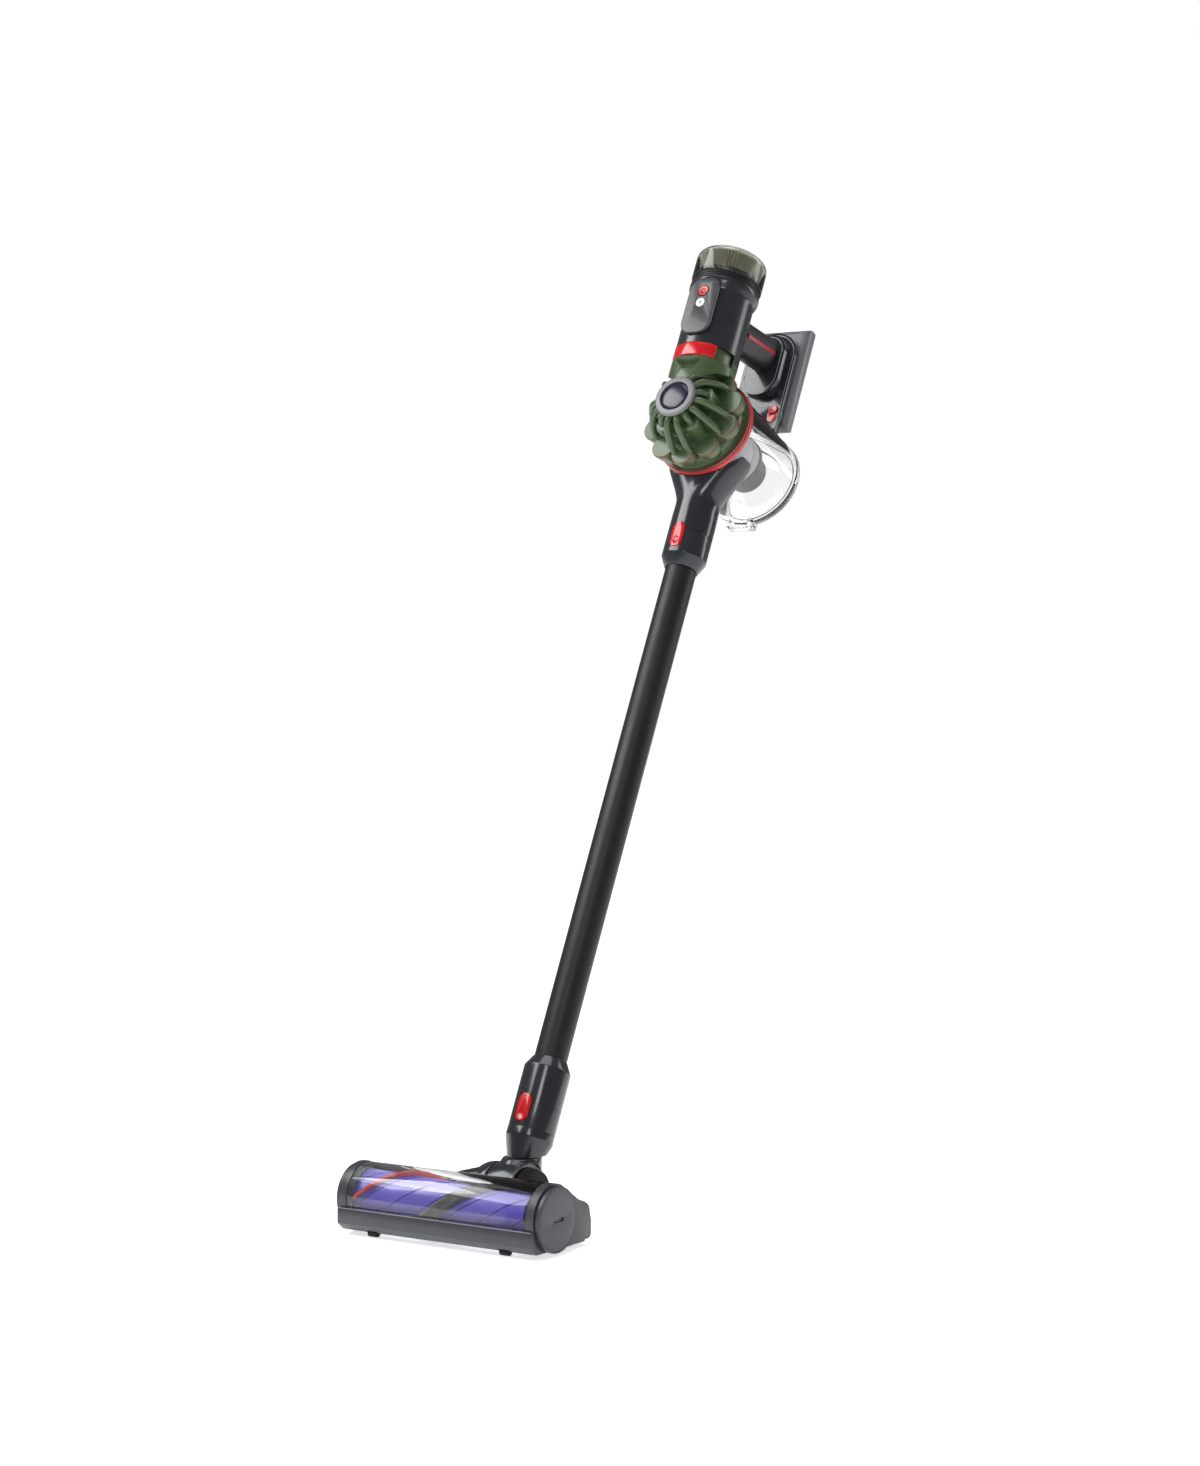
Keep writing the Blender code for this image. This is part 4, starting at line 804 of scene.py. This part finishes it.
def make_connectors():
    profile = [(0.0188, 0.1820), (0.0252, 0.1705), *groove(0.0252, 0.1030), (0.0254, 0.0945),
               (0.0156, 0.0660), (0.0118, 0.0660), (0.0118, 0.1130), (0.0178, 0.1130), (0.0178, 0.1820)]
    socket = lathe(profile, MACHINE, 160, 0.0006)
    cut(socket, box((-0.05, 0.05, 0.02), (0.05, 0.20, 0.0708), HEAD), recess(NECK_BUTTON),
        half_seam(0.0252, 0.1290))
    stand_in(socket, "neck_socket", "neck", GLOSS, "gloss_dark")
    red_button("neck_button", "neck_key", NECK_BUTTON)
    tube = lathe(wall(0.0175, 0.0163, 0.8280, 0.1135), MACHINE, 128, 0.0003)
    stand_in(tube, "wand_tube", "wand", WAND, "wand_black")
    cuff = lathe([(0.0252, 0.7985), (0.0252, 0.7700), (0.0188, 0.7570), (0.0178, 0.7570), (0.0178, 0.7985)],
                 MACHINE, 160, 0.0006)
    cut(cuff, recess(WAND_BUTTON))
    stand_in(cuff, "wand_cuff", "wand", GLOSS, "gloss_dark")
    red_button("wand_button", "wand_key", WAND_BUTTON)


def eased(table, count):
    """Smoothly interpolated rows of a table of (along, half_x, half_y, power)."""
    curve = []
    for i in range(len(table) - 1):
        rows = [table[max(i - 1, 0)], table[i], table[i + 1], table[min(i + 2, len(table) - 1)]]
        for k in range(count):
            curve.append([spline(a, b, c, d, k / count) for a, b, c, d in zip(*rows)])
    return curve + [list(table[-1])]


def make_inlet():
    outer = [(0.7988, 0.0252, 0.0252, 2.0), (0.8200, 0.0252, 0.0252, 2.0), (0.8390, 0.0252, 0.0252, 2.0),
             (0.8520, 0.0300, 0.0253, 2.2), (0.8660, 0.0372, 0.0254, 2.5), (0.8800, 0.0445, 0.0255, 2.8),
             (0.8950, 0.0495, 0.0255, 3.0)]
    inner = [(0.8950, 0.0450, 0.0225, 3.0), (0.8800, 0.0400, 0.0225, 2.8), (0.8660, 0.0320, 0.0222, 2.5),
             (0.8520, 0.0240, 0.0215, 2.2), (0.8400, 0.0178, 0.0178, 2.0), (0.7988, 0.0178, 0.0178, 2.0)]
    rings = [oval(*row, count=128) for row in eased(outer, 5) + eased(inner, 3)]
    duct = loft(rings, MACHINE, looped=True)
    cut(duct, post(BIN_SEAT, (0, 0), 0.06, -0.06, BIN, 160),
        post(0.0598, (0, 0), 0.06, 0.0202, BIN, 160), recess(WAND_BUTTON), half_seam(0.0252, 0.8385))
    stand_in(duct, "inlet_duct", "main_body", GLOSS, "gloss_dark")


# ---------------------------------------------------------------- bin and cyclones
def make_bin():
    body = lathe([(0.0560, 0.0264), (0.0560, -0.0800), (0.0565, -0.0830), (0.0565, -0.0920),
                  (0.0545, -0.0920), (0.0540, -0.0880), (0.0540, 0.0264)], BIN, 160, 0.0008)
    cut(body, box((-0.0200, -0.08, -0.0190), (0.0200, -0.04, 0.0190), BIN))
    for side in (-1, 1):
        x = side * BIN_HINGE_EAR
        ear = box((x - 0.0024, -0.0632, -0.0990), (x + 0.0024, -0.0545, -0.0860), BIN)
        cut(ear, post(0.0574, (0, 0), -0.09215, -0.12, BIN, 128))
        fuse(body, ear)
        cut(body, crossbar(0.0014, x - 0.0035, x + 0.0035, HINGE_AT, BIN, 24))
    stand_in(body, "bin_body", "main_body", CLEAR, "clear", edge=0.0002)
    ring = lathe(wall(0.0588, BIN_SEAT, 0.0264, 0.0206), BIN, 160, 0.0010)
    stand_in(ring, "bin_rim_ring", "main_body", RED, "release_red")
    top = -0.0923
    lid = lathe([(0.0, top - 0.0038), (0.0360, top - 0.0038), (0.0380, top), (0.0566, top),
                 (0.0566, top - 0.0080), (0.0530, top - 0.0092), (0.0500, top - 0.0095),
                 (0.0440, top - 0.0082), (0.0400, top - 0.0070),
                 (0.0380, top - 0.0062), (0.0, top - 0.0062)], BIN, 160, 0.0014)
    fuse(lid, crossbar(0.0036, -0.0110, 0.0110, HINGE_AT, BIN, 40),
         box((-0.0110, -0.0600, -0.0995), (0.0110, -0.0540, -0.0945), BIN))
    cut(lid, crossbar(0.0014, -0.02, 0.02, HINGE_AT, BIN, 24))
    stand_in(lid, "bin_lid", "lid", CLEAR, "clear", edge=0.0002)
    # The outer ring is the lid's black seal, made wider to also give the lid's dark contour line; the thin
    # inner ring is only a painted dark contour: painted shade where the clear lid's edge looks dark.
    lips = []
    for outer, inner, low, round_off in ((0.0560, 0.0548, 0.0026, 0.0003), (0.0506, 0.0498, 0.0014, 0.0002)):
        shell = [(outer, top - 0.0006), (inner, top - 0.0006), (inner, top - low), (outer, top - low)]
        lips.append(lathe(shell, BIN, 128, round_off))
    seal_and_contour = joined(lips)
    piece(seal_and_contour, "lid_seal_and_painted_contour", "lid", MATT, "matt_black")


def scallop(reach, radius, height, count=360):
    """Outline of ten overlapping discs round the bin's axis."""
    ring = []
    for i in range(count):
        at = 2 * pi * i / count
        off = (at - radians(18) + pi / 10) % (pi / 5) - pi / 10
        inside = max(radius ** 2 - (reach * sin(off)) ** 2, 0.0)
        away = reach * cos(off) + sqrt(inside)
        ring.append((away * cos(at), away * sin(at), height))
    return ring


def scalloped(*rows):
    return loft([scallop(*row) for row in rows], BIN)


def make_cyclones():
    solids = [
        lathe([(0.0180, 0.0948), (0.0180, 0.0700), (0.0330, 0.0660), (0.0330, 0.0420), (0.0132, 0.0420),
               (0.0132, 0.0948)], BIN, 128, 0.0010),
        lathe([(0.0515, 0.0400), (0.0525, 0.0306), (0.0585, 0.0300), (0.0585, 0.0268), (0.0132, 0.0268),
               (0.0132, 0.0500), (0.0400, 0.0500)], BIN, 160, 0.0006),
        scalloped((0.0465, 0.0140, 0.0440), (0.0472, 0.0145, 0.0532), (0.0472, 0.0145, 0.0554),
                  (0.0472, 0.0138, 0.0560)),
        scalloped((0.0440, 0.0084, 0.0310), (0.0452, 0.0112, 0.0400), (0.0465, 0.0134, 0.0480)),
    ]
    for i in range(5):
        at = BIN @ turn(radians(90 + 72 * i), "Z") @ shift(0.0285, 0, 0)
        cone = [(0.0, 0.0800), (0.0104, 0.0800), (0.0108, 0.0794), (0.0106, 0.0740), (0.0090, 0.0560),
                (0.0, 0.0560)]
        solids.append(lathe(cone, at, 64, 0.0005))
        for kind in range(3):
            stations = ((0.0150, 0.0890), (0.0230, 0.0900), (0.0285, 0.0865), (0.0305, 0.0800))
            if kind:
                stations = ((0.0150, 0.0895), (0.0250, 0.0905), (0.0335, 0.0865), (0.0400, 0.0770),
                            (0.0455, 0.0660), (0.0480, 0.0555))
            at = radians(90 + 72 * i + 24 * kind)
            path = smooth_path([(r * cos(at), r * sin(at), z) for r, z in stations])
            solids.append(sweep(path, 0.0041, BIN, 24, 0.0037))
    pack = melted(solids, 0.00050, 3)
    stand_in(pack, "cyclone_pack", "cyclone_unit", GREEN, "cyclone_green", sharp=50)
    line = scalloped((0.0472, 0.01455, 0.0526), (0.0472, 0.01475, 0.0527), (0.0472, 0.01475, 0.0531),
                     (0.0472, 0.01455, 0.0532))
    cut(line, post(0.0400, (0, 0), 0.04, 0.07, BIN, 64))
    piece(line, "cyclone_gasket_line", "cyclone_unit", RED, "release_red")
    rim = lathe([(0.05865, 0.0300), (0.05865, 0.0292), (0.0570, 0.0292), (0.0570, 0.0302), (0.0582, 0.0302)],
                BIN, 160, 0.0002)
    piece(rim, "flange_edge", "cyclone_unit", CRIMSON, "crimson")

    cap = lathe([(0.0178, 0.0988), (0.0186, 0.0990), (0.0235, 0.0986), (0.0250, 0.0970), (0.0250, 0.0954),
                 (0.0178, 0.0954)], BIN, 128, 0.0004)
    stand_in(cap, "prefilter_cap", "prefilter", RINGS, "cap_grey")
    dome = [(0.0174 * sin(radians(a)), 0.0963 + 0.0035 * cos(radians(a)))
            for a in range(0, 91, 5)]
    lens = lathe([(0.0, 0.0998), *dome[1:], (0.0174, 0.0960), (0.0, 0.0960)], BIN, 128, 0)
    stand_in(lens, "prefilter_lens", "prefilter", LENS, "lens_dark")

    screen = lathe(wall(0.0360, 0.0343, 0.0232, -0.0330), BIN, 160, 0.0003)
    piece(screen, "shroud_screen", "cyclone_unit", SCREEN, "shroud_grey", "shroud")
    band = lathe([(0.0363, -0.0332), (0.0366, -0.0452), (0.0342, -0.0452), (0.0342, -0.0332)],
                 BIN, 128, 0.0008)
    piece(band, "shroud_band", "cyclone_unit", BAND, "shroud_grey")
    cup = lathe([(0.0372, -0.0454), (0.0372, -0.0500), (0.0268, -0.0558), (0.0265, -0.0640),
                 (0.0261, -0.0644), (0.0265, -0.0648), (0.0265, -0.0800), (0.0250, -0.0820),
                 (0.0100, -0.0820), (0.0100, -0.0800), (0.0240, -0.0790), (0.0240, -0.0570),
                 (0.0340, -0.0490), (0.0340, -0.0454)], BIN, 128, 0.0010)
    stand_in(cup, "shroud_cup", "cyclone_unit", MATT, "matt_black")


def make_shoulder():
    shoulder = post(0.0366, (0, MOTOR_BACK), 0.9460, 0.9962, MACHINE, 160)
    slope = [(-0.1000, 0.9496), (-0.0925, 0.9500), (-0.0750, 0.9650), (-0.0500, 0.9720), (-0.0500, 0.9300),
             (-0.1000, 0.9300)]
    cut(shoulder, box((-0.06, -0.0580, 0.93), (0.06, 0.0, 1.05), MACHINE),
        plate(slope, -0.05, 0.05, "X", MACHINE),
        rod(0.0200, (0, -0.1080, 0.9700), (0, -0.1000, 0.9840), MACHINE, 96),
        post(0.0085, (0, -0.0690), 0.95, 1.02, MACHINE, 48),
        lathe(wall(0.0466, 0.0332, 1.0, 0.9796), MOTOR, 160, 0))
    stand_in(shoulder, "outlet_shoulder", "cyclone_unit", GREEN, "cyclone_green", edge=0.0006)
    collar = post(0.0364, (0, MOTOR_BACK), 0.9700, 0.9861, MACHINE, 160)
    cut(collar, box((-0.06, -0.0272, 0.93), (0.06, 0.0, 1.05), MACHINE),
        box((-0.06, -0.12, 0.93), (0.06, -0.0570, 1.05), MACHINE))
    piece(collar, "shoulder_collar", "cyclone_unit", GREEN, "cyclone_green", edge=0.0004)
    outline = arc(0.0372, 222, 318, 72, (0.0, MOTOR_BACK)) + arc(0.0340, 318, 222, 72, (0.0, MOTOR_BACK))
    lever = plate(outline, 0.9802, 0.9962, "Z", MACHINE)
    stand_in(lever, "release_lever", "lever", RED, "release_red", edge=0.0008)


# ---------------------------------------------------------------- motor body and filter cap
def key_frame(along):
    return MACHINE @ shift(0, KEY_BACK, along) @ turn(pi / 2, "X")


def make_motor_body():
    housing = lathe([(0.0400, 1.0815), (0.0400, 1.0772), (0.0395, 1.0752), (0.0366, 1.0680), (0.0366, 0.9865),
                     (0.0344, 0.9865), (0.0344, 1.0680), (0.0378, 1.0765),
                     (0.0378, 1.0815)], MOTOR, 160, 0.0020)
    cut(housing, box((-0.06, -0.12, 0.95), (0.06, -0.0576, 0.9965), MACHINE),
        plate(rounded(0.0192, 0.0362, 0.0150, (0, 1.0420)), -0.1130, -0.0930, "Y", MACHINE))
    stand_in(housing, "motor_housing", "main_body", GLOSS, "gloss_dark")

    panel = plate(rounded(0.0188, 0.0358, 0.0147, (0, 1.0420), 24), -0.0977, -0.0931, "Y", MACHINE)
    for along, radius in ((POWER_ALONG, 0.0064), (MODE_ALONG, 0.0059)):
        cut(panel, rod(radius, (0, -0.10, along), (0, -0.0948, along), MACHINE, 64))
    stand_in(panel, "control_panel", "main_body", PANEL, "gloss_dark", edge=0.0009)
    for name, body, look, slot, along, radius in (
            ("power_button", "power_key", RED, "release_red", POWER_ALONG, 0.0060),
            ("mode_button", "mode_key", WHITE, "key_white", MODE_ALONG, 0.0055)):
        at = key_frame(along)
        key = lathe([(0.0, 0.0018), (radius * 0.55, 0.0019), (radius, 0.0022), (radius, 0.0), (0.0, 0.0)],
                    at, 64, 0.0004)
        stand_in(key, name, body, look, slot)
    at = key_frame(POWER_ALONG)
    mark = lathe(wall(0.0030, 0.0024, 0.00215, 0.0018), at, 48, 0.0001)
    cut(mark, box((-0.0008, 0.0, 0.001), (0.0008, 0.0050, 0.003), at))
    bar = box((-0.0003, 0.0006, 0.0017), (0.0003, 0.0034, 0.00215), at)
    piece(joined([mark, bar]), "power_mark", "power_key", MATT, "matt_black")
    dot = lathe([(0.0, 0.0021), (0.0013, 0.0021), (0.0013, 0.0015), (0.0, 0.0015)], key_frame(MODE_ALONG), 48,
                0.0002)
    piece(dot, "mode_mark", "mode_key", MATT, "matt_black")

    shell = [(0.0396, 1.0900), (0.0396, 1.0819), (0.0300, 1.0819), (0.0300, 1.0842), (0.0370, 1.0842),
             (0.0370, 1.0900)]
    grille = lathe(shell, MOTOR, 128, 0.0003)
    for along in (1.0838, 1.0862, 1.0886):
        cut(grille, lathe(wall(0.0420, 0.0384, along + 0.0006, along - 0.0006), MOTOR, 128, 0))
    stand_in(grille, "exhaust_grille", "main_body", MATT, "matt_black")


def make_filter_cap():
    cap = lathe([(0.0, 1.1235), (0.0340, 1.1235), (0.0375, 1.1229), (0.0396, 1.1208), (0.0405, 1.1175),
                 (0.0405, 1.0905), (0.0385, 1.0905), (0.0385, 1.1172), (0.0372, 1.1200), (0.0345, 1.1205),
                 (0.0, 1.1205)], MOTOR, 160, 0.0012)
    stand_in(cap, "filter_cap", "filter_unit", SMOKE, "smoke")
    pleats = 60
    rings = []
    for along in (1.0965, 1.1190):
        ring = []
        for i in range(2 * pleats):
            radius, at = 0.0322 if i % 2 else 0.0364, pi * i / pleats
            ring.append((radius * cos(at), radius * sin(at), along))
        rings.append(ring)
    paper = loft(rings, MOTOR)
    cut(paper, post(0.0285, (0, 0), 1.08, 1.13, MOTOR, 64))
    stand_in(paper, "exhaust_filter", "filter_unit", PAPER, "filter_white", sharp=20)
    slats = []
    for along in (1.0912, 1.0928, 1.0944, 1.0960):
        slats.append(lathe(wall(0.0378, 0.0340, along + 0.0004, along - 0.0004), MOTOR, 128, 0.0001))
    for i in range(16):
        spoke = MOTOR @ turn(pi * i / 8, "Z")
        slats.append(box((0.0350, -0.0008, 1.0908), (0.0374, 0.0008, 1.0964), spoke))
    piece(joined(slats), "filter_base_grille", "filter_unit", MATT, "matt_black")


# ---------------------------------------------------------------- handle, foot and battery
def make_handle():
    rings = [[(x, back, z) for x, z, _ in oval(0, 0.0165 * swell, 0.0218 * swell, 2.2)]
             for back, swell in ((-0.0300, 1.0), (0.0100, 0.992), (0.0300, 0.992), (0.0620, 1.0))]
    grip = loft(rings, GRIP)
    cut(grip, post(0.0372, (0, MOTOR_BACK), 0.95, 1.15, MACHINE, 128),
        post(0.0372, (0, MOTOR_BACK), 1.0660, 1.0800, MACHINE, 128, top=0.0425),
        box((-0.05, 0.0517, 0.95), (0.05, 0.09, 1.15), MACHINE))
    for side, word in SIDES:
        x = side * LINE_X
        cut(grip, box((x - 0.0013, -0.04, -0.0026), (x + 0.0013, 0.07, 0.0026), GRIP))
    stand_in(grip, "handle_grip", "main_body", MATT, "matt_black", edge=0.0003)
    for side, word in SIDES:
        x = side * LINE_X
        line = box((x - 0.0009, -0.0130, -0.0024), (x + 0.0003, 0.0490, 0.0024), GRIP)
        stand_in(line, f"grip_line_{word}", "main_body", CRIMSON, "crimson", edge=0.0003)

    step = 0.0640
    foot = plate(rounded(0.0325, 0.0690, 0.0320, (0, 1.0350), 24), step, 0.0722, "Y", MACHINE)
    fuse(foot, plate(rounded(0.0245, 0.0400, 0.0240, (0, 1.0550), 24), 0.0520, 0.0660, "Y", MACHINE),
         box((-0.0310, step, 0.9560), (0.0310, 0.0722, 1.0050), MACHINE),
         box((-0.0090, -0.0190, 0.9650), (0.0090, 0.0700, 0.9860), MACHINE))
    cut(foot, post(BIN_SEAT, (0, 0), 0.03, -0.12, BIN, 160),
        box((-0.0153, 0.0620, 1.0197), (0.0153, 0.08, 1.0603), MACHINE),
        rod(0.0057, (0.0225, 0.0630, 1.0000), (0.0225, 0.0680, 1.0000), MACHINE, 48))
    stand_in(foot, "handle_foot", "main_body", GLOSS, "matt_black", edge=0.0010)
    for half_x, half_y, middle, back in ((0.0212, 0.0366, 1.0550, 0.0519), (0.0300, 0.0660, 1.0350, 0.0639)):
        outer = rounded(half_x + 0.0004, half_y + 0.0004, half_x, (0, middle), 24)
        inner = plate(rounded(half_x - 0.0004, half_y - 0.0004, half_x - 0.0008, (0, middle), 24),
                      back - 0.01, back + 0.01, "Y", MACHINE)
        line = cut(plate(outer, back - 0.00025, back + 0.0004, "Y", MACHINE), inner,
                   post(BIN_SEAT, (0, 0), 0.03, -0.12, BIN, 96))
        piece(line, f"foot_line_{'raised' if back < 0.06 else 'base'}", "main_body", BAND, "pack_grey")
    key = MACHINE @ shift(0.0225, step, 1.0000) @ turn(pi / 2, "X")
    button = lathe([(0.0, 0.0022), (0.0030, 0.0023), (0.0053, 0.0026), (0.0053, -0.0020), (0.0, -0.0020)],
                   key, 64, 0.0005)
    stand_in(button, "battery_button", "battery_key", RED, "release_red")
    outline = rounded(0.0062, 0.0110, 0.0061, (0.0225, 0.9950), 20)
    tray = plate(outline, step - 0.0006, step + 0.0010, "Y", MACHINE)
    cut(tray, rod(0.0057, (0.0225, 0.05, 1.0000), (0.0225, 0.08, 1.0000), MACHINE, 64))
    piece(tray, "battery_button_tray", "main_body", RED, "release_red", edge=0.0004)
    rail = box((0.0088, -0.0160, 0.9838), (0.0094, 0.0440, 0.9852), MACHINE)
    piece(rail, "rail_line", "main_body", CRIMSON, "crimson", edge=0.0001)


def make_battery():
    depth = (0.0728 + 0.0945) / 2
    section = rounded(0.0368, 0.01085, 0.0085, (0, depth), 20)
    case = plate(section, 0.9830, 1.1150, "Z", MACHINE)
    side_view = rounded(0.01085, 0.0660, 0.0085, (depth, 1.0490), 16)
    modify(case, "INTERSECT", [plate(side_view, -0.05, 0.05, "X", MACHINE)])
    cut(case, box((-0.0318, 0.0740, 0.9860), (0.0318, 0.0860, 1.1120), MACHINE),
        box((-0.0300, 0.0850, 0.9935), (0.0300, 0.12, 1.1045), MACHINE))
    fuse(case, box((-0.0150, 0.0630, 1.0200), (0.0150, 0.0738, 1.0600), MACHINE))
    stand_in(case, "battery_case", "battery", PACK, "pack_grey", edge=0.0016)
    cover = box((-0.0290, 0.0933, 0.9945), (0.0290, 0.0945, 1.1035), MACHINE)
    stand_in(cover, "battery_cover", "battery", MATT, "matt_black", edge=0.0005)


def dress_hidden_nodes():
    """Inner CAD pieces that stay as they are get the same procedural looks."""
    looks = {"control_board": BOARD, "motor_stator": STEEL, "motor_mount": RUBBER, "motor_shaft": STEEL,
             "impeller": GLOSS, "lid_hinge_pin": STEEL, "bin_gasket": RUBBER, "prefilter_sleeve": FELT,
             "pitch_pin_left": STEEL, "pitch_pin_right": STEEL, "brush_motor": STEEL, "brush_spindle": STEEL,
             "battery_cells_lower": CELLS, "battery_cells_upper": CELLS}
    for name, look in looks.items():
        node = frame["nodes"][name]
        node.data.materials.clear()
        node.data.materials.append(look)


make_head()
make_brush()
make_rollers()
make_elbow()
make_connectors()
make_inlet()
make_bin()
make_cyclones()
make_shoulder()
make_motor_body()
make_filter_cap()
make_handle()
make_battery()
dress_hidden_nodes()
